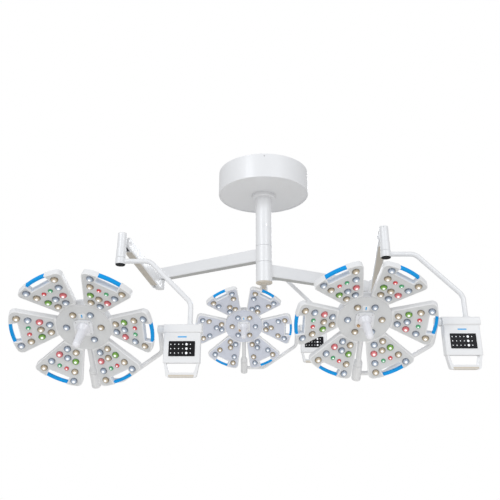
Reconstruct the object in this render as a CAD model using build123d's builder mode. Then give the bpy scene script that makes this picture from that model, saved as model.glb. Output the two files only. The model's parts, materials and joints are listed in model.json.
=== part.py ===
from build123d import *
from dataclasses import dataclass
from math import cos, radians, sin, sqrt
import os

# Ceiling-mounted surgical light: three petal-shaped LED lamp heads, each on its own
# extension arm and spring arm, carried one above the other on a single drop column.
# Millimetres. The origin is on the column's axis in the ceiling plane, +Z is up,
# +X is to the right and -Y is towards someone standing in front of the light.

# ---- fits shared by every joint -------------------------------------------------------
RUNNING_CLEARANCE = 0.05  # radial play of a shaft in its bore
SEAM = 0.75               # half the gap between two parts that turn against each other

# ---- ceiling mounting -----------------------------------------------------------------
PLATE_RADIUS = 235
PLATE_THICKNESS = 12
ANCHOR_CIRCLE_RADIUS = 200
ANCHOR_COUNT = 6
ANCHOR_HOLE_RADIUS = 7
CABLE_HOLE_RADIUS = 40
CANOPY_RADIUS = 265
CANOPY_HEIGHT = 141
CANOPY_WALL = 3
CANOPY_RECESS = 4         # the canopy's floor stands this far above its rim
CANOPY_EDGE = 3           # rounding of the rim
SUPPLY_SIZE = (70, 110, 50)
SUPPLY_CIRCLE_RADIUS = 160
SUPPLY_CORNER = 4
SUPPLY_DIRECTION = 30

# ---- column ---------------------------------------------------------------------------
COLUMN_RADIUS = 46.5
COLUMN_WALL = 6
COLUMN_FOOT = 20          # thick ring at the drop tube's lower end
FLANGE_RADIUS = 95
FLANGE_THICKNESS = 15
FLANGE_BOLT_CIRCLE_RADIUS = 75
FLANGE_BOLT_COUNT = 6
FLANGE_BOLT_RADIUS = 6
BOLT_HEAD_RADIUS = 10
BOLT_HEAD_HEIGHT = 8
COLLAR_RADIUS = 68.5
COLLAR_HEIGHT = 24
COLLAR_EDGE = 6
SET_SCREW_RADIUS = 4
SET_SCREW_LENGTH = 8
SET_SCREW_PROUD = 0.5
SET_SCREW_LEVEL = -340
SET_SCREW_DIRECTION = -72
SPINDLE_RADIUS = 25
SPINDLE_BORE_RADIUS = 15
SPINDLE_HEAD = 14
BEARING_RADIUS = 35
BEARING_HEIGHT = 14
COLUMN_BOTTOM = -679
CAP_THICKNESS = 7
CAP_PLUG = 12
CAP_EDGE = 2

# ---- joints of the arms ---------------------------------------------------------------
ELBOW_PIN_RADIUS = 16
TURRET_RADIUS = 30
TURRET_FOOT = 6           # how far the turret reaches below its tongue
TURRET_EDGE = 5
KNUCKLE_REACH = 66        # elbow axis to the spring arm's first pivot
HUB_REACH = 60            # spring arm's second pivot to the end hub's axis
SPRING_SPAN = 530         # between the spring arm's two pivots
TONGUE_THICKNESS = 22
TONGUE_HALF_HEIGHT = 18
CHEEK_GAP = 26            # slot in the spring arm's ends that takes a tongue
PIVOT_PIN_RADIUS = 8
SHAFT_RADIUS = 12         # suspension swivel
TILT_SHAFT_RADIUS = 10
BEAM_WALL = 4
BEAM_EDGE = 6
CHEEK_SLOT_EXTRA = 6      # how far a slot runs in past the arm's rounded end
STRUT_DROP = 2            # the gas spring, below the line between the pivots
STRUT_START = 60
STRUT_RADIUS = 14
STRUT_LENGTH = 290
ROD_RADIUS = 6
ROD_LENGTH = 410
SADDLE_STARTS = (60, 445)
SADDLE_SIZE = (24, 30)
SADDLE_TOP = 4

# ---- suspension, control box and yoke of a large lamp ---------------------------------
HUB_TOP = 38              # levels measured from the spring arm's second pivot
HUB_STEP = -51
HUB_BOTTOM = -100
HUB_RADIUS = 24
HUB_STEP_RADIUS = 25.5
SWIVEL_RADIUS = 27
SWIVEL_BOTTOM = -135
HUB_CAP_RADIUS = 24.5
HUB_CAP_HEIGHT = 6
HUB_CAP_EDGE = 1.5
HUB_EDGE = 4
SHAFT_LENGTH = 80
SHAFT_SEAT = 90
TUBE_ROOT = 5             # how far the tube starts inside the swivel's wall
TUBE_RADIUS = 13
TUBE_WALL = 2.5
TUBE_BEND = 60
TUBE_LEVEL = -118         # the horizontal stretch of the suspension tube
TUBE_REACHES = (155, 380)  # its two corners, out from the hub's axis
TILT_LEVEL = -479.5       # the lamp's tilt axis
HEADER_HEIGHT = 43
HEADER_DEPTH = 58
HEADER_SPAN = (250, 440)  # left and right ends, out from the hub's axis
HEADER_EDGE = 9
PANEL_INSET = 3
PANEL_DEPTH = 46
PANEL_HEIGHT = 148
PANEL_CORNER = 6
LOOP_HEIGHT = 69
LOOP_TOP_WIDTH = 176
LOOP_BOTTOM_WIDTH = 150
LOOP_BAR = 22
LOOP_SIDE = 12
LOOP_DEPTH = 34
LOOP_CORNER = 12
LOOP_GAP_CORNER = 6
KEYPAD_SIZE = (131, 75)
KEYPAD_DROP = 101         # tilt axis to the keypad's centre
KEYPAD_THICKNESS = 2
KEYPAD_CORNER = 3
LAMP_SIDE = 145           # hub axis to the lamp's centre, to the left
AXIS_BELOW_CENTRE = 34    # tilt axis to the lamp's centre, along its face
AXIS_BEHIND_FACE = 30
YOKE_RADIUS = 12
YOKE_WALL = 2.5
YOKE_BEND = 50
YOKE_SIDE = 374           # the yoke's upright, right of the lamp's centre
YOKE_CORNERS = ((374, -180), (142, -373))
TILT_BLOCK_RADIUS = 21.5
TILT_BLOCK_WIDTH = 31
TILT_SHAFT_LENGTH = 45
SHAFT_END_GAP = 5
STEM_JOINT_RADIUS = 24
STEM_JOINT_SPAN = (-411, -313)
STEM_CONE_TOP = -272
STEM_CONE_FOOT = 12
STEM_RADIUS = 14
STEM_SHAFT_LENGTH = 60

# ---- lamp head, large size ------------------------------------------------------------
HEAD_RADIUS = 350
PETAL_COUNT = 6
PETAL_HALF_ANGLE = 22
PETAL_SLOPE = 14          # the petals lean forward, like a shallow bowl
PETAL_DEPTH = 36
PETAL_TAIL = 14           # how far a petal runs in under the hub's edge before it is trimmed
PETAL_WALL = 5
PETAL_CORNER = 26
PETAL_BACK_BEVEL = 6
PETAL_FRONT_BEVEL = 3
COVER_THICKNESS = 3
COVER_SET_BACK = 1
HEAD_HUB_RADIUS = 136
HEAD_HUB_DEPTH = 70
HEAD_HUB_WALL = 5
HEAD_HUB_SHOULDER = 48
SLOT_INNER_RADIUS = 305
GRIP_WIDTH = 15
GRIP_DEPTH = 20
GRIP_EDGE = 4.5
MOUNT_PLATE_SIZE = 92
MOUNT_PLATE_HEIGHT = 8
MOUNT_PLATE_CORNER = 22
HANDLE_POST_RADIUS = 9.95
HANDLE_POST_LENGTH = 60
HANDLE_BORE_RADIUS = 10
HANDLE_FLANGE_RADIUS = 34
HANDLE_FLANGE_HEIGHT = 5
HANDLE_NECK_HEIGHT = 30
HANDLE_NECK_RADIUS = 17
HANDLE_TIP_RADIUS = 14.5
HANDLE_LENGTH = 150
SMALL_LENS_RADIUS = 12.5
LENS_PROUD = 1
HUB_LENS_CIRCLE_RADIUS = 86

# Lens places on one petal: out from the lamp's axis, and to the side of the petal's middle.
LARGE_LAMP_LENSES = (
    (312, 81), (263, 64), (210, 44), (164, 25), (164, -22),
    (208, 0), (207, -45), (257, -64), (305, -83),
)
LARGE_LAMP_SMALL_LENSES = ((263, 19), (262, -19))
SMALL_LAMP_LENSES = ((300, 77), (300, -77), (254, 62), (254, -62), (203, 0), (165, 23), (165, -23))


def at(base, x=0, y=0, z=0, turn=(0, 0, 0)):
    """A plane at a point given along another plane's axes, turned about its own axes."""
    return Plane(base.location * Location((x, y, z), turn))


def side_of(base):
    """The upright plane through a base plane's x axis: it draws what is revolved about z."""
    return at(base, turn=(90, 0, 0))


def axis_of(base):
    """The line through a plane's origin, square to it."""
    return Axis(base.origin, base.z_dir)


@dataclass
class Arm:
    """One lamp with the arms that carry it. Angles are in degrees, levels from the ceiling."""

    name: str
    hub_top: float      # the sleeve on the column
    hub_bottom: float
    beam_top: float     # the extension arm
    beam_bottom: float
    beam_width: float
    reach: float
    swing: float        # where the extension arm points, seen from above
    elbow: float        # where the spring arm points, from the extension arm's direction
    lift: float         # the spring arm's slope
    pivot_drop: float   # its first pivot, below the extension arm
    spring_height: float
    spring_width: float
    size: float         # suspension, control box and yoke, against a large lamp's
    head_size: float    # lamp head, against a large one
    tilt: float         # the beam of light, below the horizontal
    lenses: tuple
    small_lenses: tuple
    lens_radius: float
    slot_length: float  # the notch in a petal's outer edge that its grip bridges

    @property
    def column(self):
        return at(Plane.XY, turn=(0, 0, self.swing))

    @property
    def elbow_plane(self):
        return at(self.column, x=self.reach, z=self.beam_bottom - self.pivot_drop,
                  turn=(0, 0, self.elbow))

    @property
    def lift_plane(self):
        return at(self.elbow_plane, x=KNUCKLE_REACH, turn=(0, -self.lift, 0))

    @property
    def level_plane(self):
        return at(self.lift_plane, x=SPRING_SPAN, turn=(0, self.lift, 0))

    @property
    def hub(self):
        return Plane(at(self.level_plane, x=HUB_REACH).origin)

    @property
    def tilt_plane(self):
        """On the tilt axis, which runs along x, below the end hub."""
        return at(self.hub, z=TILT_LEVEL * self.size)

    @property
    def head(self):
        """At the lamp's centre: y is up along its face, z is the way the light goes."""
        facing = at(self.tilt_plane, x=-LAMP_SIDE * self.size, turn=(90 + self.tilt, 0, 0))
        return at(facing, y=AXIS_BELOW_CENTRE * self.size, z=AXIS_BEHIND_FACE * self.size)

    @property
    def stem(self):
        """On the stem's axis: z runs up the stem, towards the lamp's centre."""
        return at(self.head, z=-AXIS_BEHIND_FACE * self.size, turn=(-90, 0, 0))


ARMS = (
    Arm("left", hub_top=-460, hub_bottom=-557, beam_top=-473, beam_bottom=-545, beam_width=56,
        reach=780, swing=147.7, elbow=113, lift=9.0, pivot_drop=36, spring_height=64,
        spring_width=50, size=1, head_size=1, tilt=47, lenses=LARGE_LAMP_LENSES,
        small_lenses=LARGE_LAMP_SMALL_LENSES, lens_radius=19,
        slot_length=110),
    Arm("right", hub_top=-557, hub_bottom=-672, beam_top=-567, beam_bottom=-639, beam_width=56,
        reach=780, swing=29.2, elbow=-123.1, lift=23.9, pivot_drop=36, spring_height=64,
        spring_width=50, size=1, head_size=1, tilt=47, lenses=LARGE_LAMP_LENSES,
        small_lenses=LARGE_LAMP_SMALL_LENSES, lens_radius=19,
        slot_length=110),
    Arm("small", hub_top=-350, hub_bottom=-460, beam_top=-355, beam_bottom=-415, beam_width=48,
        reach=930, swing=88.6, elbow=180, lift=0, pivot_drop=60, spring_height=52,
        spring_width=46, size=0.85, head_size=0.8, tilt=43, lenses=SMALL_LAMP_LENSES,
        small_lenses=(), lens_radius=17,
        slot_length=78),
)


def save(part, name):
    """Label a finished piece and write its STEP file."""
    part.label = name
    export_step(part, f"parts/{name}.step")


# ---- ceiling mounting and column ------------------------------------------------------
def make_ceiling_plate():
    with BuildPart() as ceiling_plate:
        with BuildSketch():
            Circle(PLATE_RADIUS)
            Circle(CABLE_HOLE_RADIUS, mode=Mode.SUBTRACT)
            with PolarLocations(ANCHOR_CIRCLE_RADIUS, ANCHOR_COUNT):
                Circle(ANCHOR_HOLE_RADIUS, mode=Mode.SUBTRACT)
            with PolarLocations(FLANGE_BOLT_CIRCLE_RADIUS, FLANGE_BOLT_COUNT):
                Circle(FLANGE_BOLT_RADIUS, mode=Mode.SUBTRACT)
        extrude(amount=-PLATE_THICKNESS)
    save(ceiling_plate.part, "ceiling_plate")


def make_canopy():
    floor_level = CANOPY_RECESS - CANOPY_HEIGHT
    with BuildPart() as canopy:
        with BuildSketch():
            Circle(CANOPY_RADIUS)
        extrude(amount=-CANOPY_HEIGHT)
        fillet(canopy.faces().sort_by(Axis.Z)[0].edges(), CANOPY_EDGE)
        with BuildSketch():
            Circle(CANOPY_RADIUS - CANOPY_WALL)
        extrude(amount=floor_level + CANOPY_WALL, mode=Mode.SUBTRACT)
        with BuildSketch(Plane.XY.offset(-CANOPY_HEIGHT)):
            Circle(CANOPY_RADIUS - 2 * CANOPY_WALL)
        extrude(amount=CANOPY_RECESS, mode=Mode.SUBTRACT)
        with BuildSketch(Plane.XY.offset(-CANOPY_HEIGHT)):
            Circle(COLUMN_RADIUS + 1)
        extrude(amount=CANOPY_HEIGHT, mode=Mode.SUBTRACT)
    save(canopy.part, "canopy")


def make_power_supplies():
    depth, width, height = SUPPLY_SIZE
    with BuildPart() as power_supplies:
        with BuildSketch(Plane.XY.offset(-PLATE_THICKNESS)):
            with PolarLocations(SUPPLY_CIRCLE_RADIUS, 3, start_angle=SUPPLY_DIRECTION):
                RectangleRounded(depth, width, SUPPLY_CORNER)
        extrude(amount=-height)
    save(power_supplies.part, "power_supplies")


def make_drop_tube():
    tube_bottom = ARMS[2].hub_top + SEAM
    with BuildPart() as drop_tube:
        with BuildSketch(Plane.XY.offset(-PLATE_THICKNESS)):
            Circle(FLANGE_RADIUS)
            with PolarLocations(FLANGE_BOLT_CIRCLE_RADIUS, FLANGE_BOLT_COUNT):
                Circle(FLANGE_BOLT_RADIUS, mode=Mode.SUBTRACT)
        extrude(amount=-FLANGE_THICKNESS)
        with BuildSketch(Plane.XY.offset(tube_bottom)):
            Circle(COLUMN_RADIUS)
        extrude(amount=-PLATE_THICKNESS - tube_bottom)
        with BuildSketch(Plane.XY.offset(tube_bottom + COLUMN_FOOT)):
            Circle(COLUMN_RADIUS - COLUMN_WALL)
        extrude(amount=-tube_bottom - COLUMN_FOOT, mode=Mode.SUBTRACT)
        with BuildSketch(Plane.XY.offset(tube_bottom)):
            Circle(SPINDLE_RADIUS)
        extrude(amount=COLUMN_FOOT, mode=Mode.SUBTRACT)
        for seat in set_screw_seats():
            with BuildSketch(seat):
                Circle(SET_SCREW_RADIUS)
            extrude(amount=2 * SET_SCREW_LENGTH, mode=Mode.SUBTRACT)
    save(drop_tube.part, "drop_tube")


def set_screw_seats():
    """The bottoms of the three set screws that lock the drop tube's foot, facing outwards."""
    level = Plane.XY.offset(SET_SCREW_LEVEL)
    turned = [at(level, turn=(0, 0, SET_SCREW_DIRECTION + 120 * k)) for k in range(3)]
    return [at(plane, x=COLUMN_RADIUS - SET_SCREW_LENGTH, turn=(0, 90, 0)) for plane in turned]


def make_column_fasteners():
    head_level = -PLATE_THICKNESS - FLANGE_THICKNESS
    with BuildPart() as column_fasteners:
        with BuildSketch(Plane.XY.offset(head_level)):
            with PolarLocations(FLANGE_BOLT_CIRCLE_RADIUS, FLANGE_BOLT_COUNT):
                Circle(FLANGE_BOLT_RADIUS)
        extrude(amount=-head_level)
        with BuildSketch(Plane.XY.offset(head_level)):
            with PolarLocations(FLANGE_BOLT_CIRCLE_RADIUS, FLANGE_BOLT_COUNT):
                RegularPolygon(BOLT_HEAD_RADIUS, 6)
        extrude(amount=-BOLT_HEAD_HEIGHT)
        for seat in set_screw_seats():
            with BuildSketch(seat):
                Circle(SET_SCREW_RADIUS)
            extrude(amount=SET_SCREW_LENGTH + SET_SCREW_PROUD)
    save(column_fasteners.part, "column_fasteners")


def make_tube_collar():
    top = CANOPY_RECESS - CANOPY_HEIGHT
    with BuildPart() as tube_collar:
        with BuildSketch(Plane.XY.offset(top)):
            Circle(COLLAR_RADIUS)
        extrude(amount=-COLLAR_HEIGHT)
        fillet(tube_collar.edges().group_by(Axis.Z)[0], COLLAR_EDGE)
        with BuildSketch(Plane.XY.offset(top)):
            Circle(COLUMN_RADIUS)
        extrude(amount=-COLLAR_HEIGHT, mode=Mode.SUBTRACT)
    save(tube_collar.part, "tube_collar")


def make_spindle():
    top = ARMS[2].hub_top + SEAM + COLUMN_FOOT
    bottom = COLUMN_BOTTOM + CAP_THICKNESS
    with BuildPart() as spindle:
        with BuildSketch(Plane.XY.offset(bottom)):
            Circle(SPINDLE_RADIUS)
        extrude(amount=top - bottom)
        with BuildSketch(Plane.XY.offset(top)):
            Circle(COLUMN_RADIUS - COLUMN_WALL)
        extrude(amount=SPINDLE_HEAD)
        with BuildSketch(Plane.XY.offset(bottom)):
            Circle(SPINDLE_BORE_RADIUS)
        extrude(amount=top - bottom + SPINDLE_HEAD, mode=Mode.SUBTRACT)
    save(spindle.part, "spindle")


def make_hub_bearings():
    with BuildPart() as hub_bearings:
        for arm in ARMS:
            middle = (arm.hub_top + arm.hub_bottom) / 2
            spacing = (arm.hub_top - arm.hub_bottom) / 4
            for level in (middle - spacing, middle + spacing):
                with BuildSketch(Plane.XY.offset(level)):
                    Circle(BEARING_RADIUS - RUNNING_CLEARANCE)
                    Circle(SPINDLE_RADIUS, mode=Mode.SUBTRACT)
                extrude(amount=BEARING_HEIGHT / 2, both=True)
    save(hub_bearings.part, "hub_bearings")


def make_bottom_cap():
    with BuildPart() as bottom_cap:
        with BuildSketch(Plane.XY.offset(COLUMN_BOTTOM)):
            Circle(COLUMN_RADIUS)
        extrude(amount=CAP_THICKNESS)
        chamfer(bottom_cap.edges().group_by(Axis.Z)[0], CAP_EDGE)
        with BuildSketch(Plane.XY.offset(COLUMN_BOTTOM + CAP_THICKNESS)):
            Circle(SPINDLE_BORE_RADIUS)
        extrude(amount=CAP_PLUG)
    save(bottom_cap.part, "bottom_cap")


# ---- arms -----------------------------------------------------------------------------
def make_extension_arm(arm):
    """Sleeve on the column, hollow beam, and the boss that holds the elbow pin."""
    height = arm.beam_top - arm.beam_bottom
    column = arm.column
    beam_foot = at(column, z=arm.beam_bottom)
    with BuildPart() as extension_arm:
        with BuildSketch(at(column, x=arm.reach / 2, z=arm.beam_bottom)):
            SlotCenterToCenter(arm.reach, arm.beam_width)
        extrude(amount=height)
        fillet(extension_arm.faces().group_by(Axis.Z)[0].edges(), BEAM_EDGE)
        fillet(extension_arm.faces().group_by(Axis.Z)[-1].edges(), BEAM_EDGE)
        with BuildSketch(at(column, z=arm.hub_bottom + SEAM)):
            Circle(COLUMN_RADIUS)
        extrude(amount=arm.hub_top - arm.hub_bottom - 2 * SEAM)
        with BuildSketch(at(beam_foot, x=arm.reach / 2, z=BEAM_WALL)):
            Rectangle(arm.reach - 2 * (COLUMN_RADIUS + BEAM_WALL), arm.beam_width - 4 * BEAM_WALL)
        extrude(amount=height - 2 * BEAM_WALL, mode=Mode.SUBTRACT)
        with BuildSketch(at(column, z=arm.hub_bottom)):
            Circle(BEARING_RADIUS)
        extrude(amount=arm.hub_top - arm.hub_bottom, mode=Mode.SUBTRACT)
        with BuildSketch(at(beam_foot, x=arm.reach)):
            Circle(ELBOW_PIN_RADIUS + RUNNING_CLEARANCE)
        extrude(amount=height, mode=Mode.SUBTRACT)
    save(extension_arm.part, f"{arm.name}_extension_arm")


def tongue(base, length, pin_length):
    """A flat tongue from a pivot at the plane's origin along +x, with its cross pin."""
    with BuildPart(mode=Mode.PRIVATE) as pinned_tongue:
        with BuildSketch(side_of(base)):
            Circle(TONGUE_HALF_HEIGHT)
            with Locations((length / 2, 0)):
                Rectangle(length, 2 * TONGUE_HALF_HEIGHT)
        extrude(amount=TONGUE_THICKNESS / 2, both=True)
        with BuildSketch(side_of(base)):
            Circle(PIVOT_PIN_RADIUS)
        extrude(amount=pin_length / 2, both=True)
    return pinned_tongue.part


def make_elbow_knuckle(arm):
    """Turret under the extension arm: its pin turns in the boss, its tongue holds the spring arm."""
    base = arm.elbow_plane
    turret_top = arm.pivot_drop - 2 * SEAM
    turret_bottom = -TONGUE_HALF_HEIGHT - TURRET_FOOT
    fork = tongue(at(base, x=KNUCKLE_REACH, turn=(0, 0, 180)), KNUCKLE_REACH, arm.spring_width)
    with BuildPart() as elbow_knuckle:
        with BuildSketch(at(base, z=turret_bottom)):
            Circle(TURRET_RADIUS)
        extrude(amount=turret_top - turret_bottom)
        fillet(elbow_knuckle.edges().group_by(Axis.Z)[0], TURRET_EDGE)
        with BuildSketch(at(base, z=turret_top)):
            Circle(ELBOW_PIN_RADIUS)
        extrude(amount=arm.beam_top - arm.beam_bottom)
        add(fork)
    save(elbow_knuckle.part, f"{arm.name}_elbow_knuckle")


def make_spring_arm(arm):
    """Hollow arm between two pivots, slotted at both ends for the tongues."""
    base = arm.lift_plane
    middle = at(base, x=SPRING_SPAN / 2)
    cavity_height = arm.spring_height - 2 * BEAM_WALL
    cavity_width = arm.spring_width - 2 * BEAM_WALL
    end = arm.spring_height / 2
    across = Axis(base.origin, base.y_dir)
    with BuildPart() as spring_arm:
        with BuildSketch(side_of(middle)):
            SlotCenterToCenter(SPRING_SPAN, arm.spring_height)
        extrude(amount=arm.spring_width / 2, both=True)
        for cheek in (0, -1):
            sides = spring_arm.faces().filter_by(GeomType.PLANE).sort_by(across)
            fillet(sides[cheek].edges(), BEAM_EDGE)
        with BuildSketch(side_of(middle)):
            Rectangle(SPRING_SPAN - 2 * end, cavity_height)
        extrude(amount=cavity_width / 2, both=True, mode=Mode.SUBTRACT)
        with BuildSketch(side_of(base)):
            with Locations((0, 0), (SPRING_SPAN, 0)):
                Rectangle(2 * end + CHEEK_SLOT_EXTRA, arm.spring_height)
        extrude(amount=CHEEK_GAP / 2, both=True, mode=Mode.SUBTRACT)
        with BuildSketch(side_of(base)):
            with Locations((0, 0), (SPRING_SPAN, 0)):
                Circle(PIVOT_PIN_RADIUS + RUNNING_CLEARANCE)
        extrude(amount=arm.spring_width, both=True, mode=Mode.SUBTRACT)
    save(spring_arm.part, f"{arm.name}_spring_arm")


def make_gas_spring(arm):
    """The strut inside the spring arm that carries the lamp's weight, on its two saddles."""
    floor = BEAM_WALL - arm.spring_height / 2
    base = at(arm.lift_plane, z=-STRUT_DROP)
    with BuildPart() as gas_spring:
        for radius, length in ((STRUT_RADIUS, STRUT_LENGTH), (ROD_RADIUS, ROD_LENGTH)):
            with BuildSketch(at(base, x=STRUT_START, turn=(0, 90, 0))):
                Circle(radius)
            extrude(amount=length)
        for start in SADDLE_STARTS:
            with BuildSketch(at(arm.lift_plane, x=start, z=floor)):
                Rectangle(*SADDLE_SIZE, align=(Align.MIN, Align.CENTER))
            extrude(amount=SADDLE_TOP - floor)
    save(gas_spring.part, f"{arm.name}_gas_spring")


def make_end_hub(arm):
    """Upright hub at the spring arm's end, with a blind bore for the suspension's shaft."""
    s = arm.size
    hub = arm.hub
    fork = tongue(arm.level_plane, HUB_REACH - TONGUE_THICKNESS / 2, arm.spring_width)
    with BuildPart() as end_hub:
        with BuildSketch(at(hub, z=HUB_STEP * s)):
            Circle(HUB_RADIUS * s)
        extrude(amount=(HUB_TOP - HUB_STEP) * s)
        fillet(end_hub.edges().group_by(Axis.Z)[-1], HUB_EDGE)
        with BuildSketch(at(hub, z=HUB_BOTTOM * s + SEAM)):
            Circle(HUB_STEP_RADIUS * s)
        extrude(amount=(HUB_STEP - HUB_BOTTOM) * s - SEAM)
        add(fork)
        with BuildSketch(at(hub, z=HUB_BOTTOM * s)):
            Circle(SHAFT_RADIUS + RUNNING_CLEARANCE)
        extrude(amount=SHAFT_SEAT * s, mode=Mode.SUBTRACT)
    save(end_hub.part, f"{arm.name}_end_hub")


# ---- suspension and control box -------------------------------------------------------
def bent_tube(base, corners, bend, radius, wall):
    """A round tube through corner points given in a plane, with rounded bends."""
    with BuildPart(mode=Mode.PRIVATE) as tube:
        with BuildLine(base) as path:
            FilletPolyline(*corners, radius=bend)
        with BuildSketch(Plane(path.line @ 0, z_dir=path.line % 0)):
            Circle(radius)
            Circle(radius - wall, mode=Mode.SUBTRACT)
        sweep(path=path.line)
    return tube.part


def make_suspension_tube(arm):
    """Swivel head under the end hub and the bent tube down to the control box."""
    s = arm.size
    hub = arm.hub
    near, far = (reach * s for reach in TUBE_REACHES)
    level = TUBE_LEVEL * s
    header_top = TILT_LEVEL * s + HEADER_HEIGHT * s / 2
    corners = ((SWIVEL_RADIUS * s - TUBE_ROOT, level), (near, level), (far, level - (far - near)),
               (far, header_top))
    tube = bent_tube(side_of(hub), corners, TUBE_BEND * s, TUBE_RADIUS * s, TUBE_WALL)
    with BuildPart() as suspension_tube:
        with BuildSketch(at(hub, z=SWIVEL_BOTTOM * s)):
            Circle(SWIVEL_RADIUS * s)
        extrude(amount=(HUB_BOTTOM - SWIVEL_BOTTOM) * s - SEAM)
        with BuildSketch(at(hub, z=HUB_BOTTOM * s - SEAM)):
            Circle(SHAFT_RADIUS)
        extrude(amount=SHAFT_LENGTH * s)
        add(tube)
    save(suspension_tube.part, f"{arm.name}_suspension_tube")


def make_hub_cap(arm):
    s = arm.size
    with BuildPart() as hub_cap:
        with BuildSketch(at(arm.hub, z=SWIVEL_BOTTOM * s)):
            Circle(HUB_CAP_RADIUS * s)
        extrude(amount=-HUB_CAP_HEIGHT)
        chamfer(hub_cap.edges().group_by(Axis.Z)[0], HUB_CAP_EDGE)
    save(hub_cap.part, f"{arm.name}_hub_cap")


def make_control_box(arm):
    """Header bar with the tilt bearing, panel housing, and the loop handle below it."""
    s = arm.size
    left, right = (end * s for end in HEADER_SPAN)
    middle = (left + right) / 2
    panel_width = right - left - 2 * PANEL_INSET
    panel_top = -HEADER_HEIGHT * s / 2
    panel_bottom = panel_top - PANEL_HEIGHT * s
    loop_bottom = panel_bottom - LOOP_HEIGHT * s
    loop_top = LOOP_TOP_WIDTH * s / 2
    loop_foot = LOOP_BOTTOM_WIDTH * s / 2
    gap_top = loop_top - LOOP_SIDE * s
    gap_foot = loop_foot - LOOP_SIDE * s
    gap_bottom = loop_bottom + LOOP_BAR * s
    centre = at(arm.tilt_plane, x=middle)
    with BuildPart() as control_box:
        with BuildSketch(at(centre, x=(left - right) / 2, turn=(0, 90, 0))):
            RectangleRounded(HEADER_HEIGHT * s, HEADER_DEPTH * s, HEADER_EDGE * s)
        extrude(amount=right - left)
        with BuildSketch(at(centre, z=panel_bottom)):
            RectangleRounded(panel_width, PANEL_DEPTH * s, PANEL_CORNER * s)
        extrude(amount=panel_top - panel_bottom)
        with BuildSketch(at(centre, z=panel_bottom + BEAM_WALL)):
            Rectangle(panel_width - 2 * BEAM_WALL, PANEL_DEPTH * s - 2 * BEAM_WALL)
        extrude(amount=PANEL_HEIGHT * s - 2 * BEAM_WALL, mode=Mode.SUBTRACT)
        with BuildSketch(side_of(centre)) as loop:
            with BuildLine():
                Polyline((-loop_top, panel_bottom), (loop_top, panel_bottom),
                         (loop_foot, loop_bottom), (-loop_foot, loop_bottom), close=True)
            make_face()
            fillet(loop.vertices().group_by(Axis.Y)[0], LOOP_CORNER * s)
        extrude(amount=LOOP_DEPTH * s / 2, both=True)
        with BuildSketch(side_of(centre)) as finger_gap:
            with BuildLine():
                Polyline((-gap_top, panel_bottom), (gap_top, panel_bottom),
                         (gap_foot, gap_bottom), (-gap_foot, gap_bottom), close=True)
            make_face()
            fillet(finger_gap.vertices().group_by(Axis.Y)[0], LOOP_GAP_CORNER * s)
        extrude(amount=LOOP_DEPTH * s, both=True, mode=Mode.SUBTRACT)
        with BuildSketch(at(centre, x=(left - right) / 2, turn=(0, 90, 0))):
            Circle(TILT_SHAFT_RADIUS + RUNNING_CLEARANCE)
        extrude(amount=TILT_SHAFT_LENGTH + SHAFT_END_GAP, mode=Mode.SUBTRACT)
    save(control_box.part, f"{arm.name}_control_box")


def make_keypad(arm):
    s = arm.size
    width, height = KEYPAD_SIZE
    middle = sum(HEADER_SPAN) * s / 2
    front = at(arm.tilt_plane, x=middle, y=-PANEL_DEPTH * s / 2, z=-KEYPAD_DROP * s, turn=(90, 0, 0))
    with BuildPart() as keypad:
        with BuildSketch(front):
            RectangleRounded(width * s, height * s, KEYPAD_CORNER)
        extrude(amount=KEYPAD_THICKNESS)
    save(keypad.part, f"{arm.name}_keypad")


# ---- lamp -----------------------------------------------------------------------------
def make_lamp_yoke(arm):
    """Tilt block on the header's end, bent tube round the lamp, and the stem's joint."""
    s = arm.size
    head = arm.head
    block_left = (HEADER_SPAN[0] + LAMP_SIDE - TILT_BLOCK_WIDTH) * s - SEAM
    shaft_end = (HEADER_SPAN[0] + LAMP_SIDE) * s + TILT_SHAFT_LENGTH
    tilt_axis = at(head, y=-AXIS_BELOW_CENTRE * s, z=-AXIS_BEHIND_FACE * s, turn=(0, 90, 0))
    corners = [(YOKE_SIDE * s, -AXIS_BELOW_CENTRE * s)]
    corners += [(x * s, y * s) for x, y in YOKE_CORNERS]
    corners += [(0, YOKE_CORNERS[-1][1] * s)]
    joint_bottom, joint_top = (level * s for level in STEM_JOINT_SPAN)
    yoke_plane = at(head, z=-AXIS_BEHIND_FACE * s)
    tube = bent_tube(yoke_plane, corners, YOKE_BEND * s, YOKE_RADIUS * s, YOKE_WALL)
    with BuildPart() as lamp_yoke:
        add(tube)
        with BuildSketch(at(tilt_axis, z=block_left)):
            Circle(TILT_BLOCK_RADIUS * s)
        extrude(amount=TILT_BLOCK_WIDTH * s)
        with BuildSketch(at(tilt_axis, z=block_left)):
            Circle(TILT_SHAFT_RADIUS)
        extrude(amount=shaft_end - block_left)
        with BuildSketch(at(arm.stem, z=joint_bottom)):
            Circle(STEM_JOINT_RADIUS * s)
        extrude(amount=joint_top - joint_bottom - SEAM)
        with BuildSketch(at(arm.stem, z=joint_top)):
            Circle(TILT_SHAFT_RADIUS + RUNNING_CLEARANCE)
        extrude(amount=-STEM_SHAFT_LENGTH - SHAFT_END_GAP, mode=Mode.SUBTRACT)
    save(lamp_yoke.part, f"{arm.name}_lamp_yoke")


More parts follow.
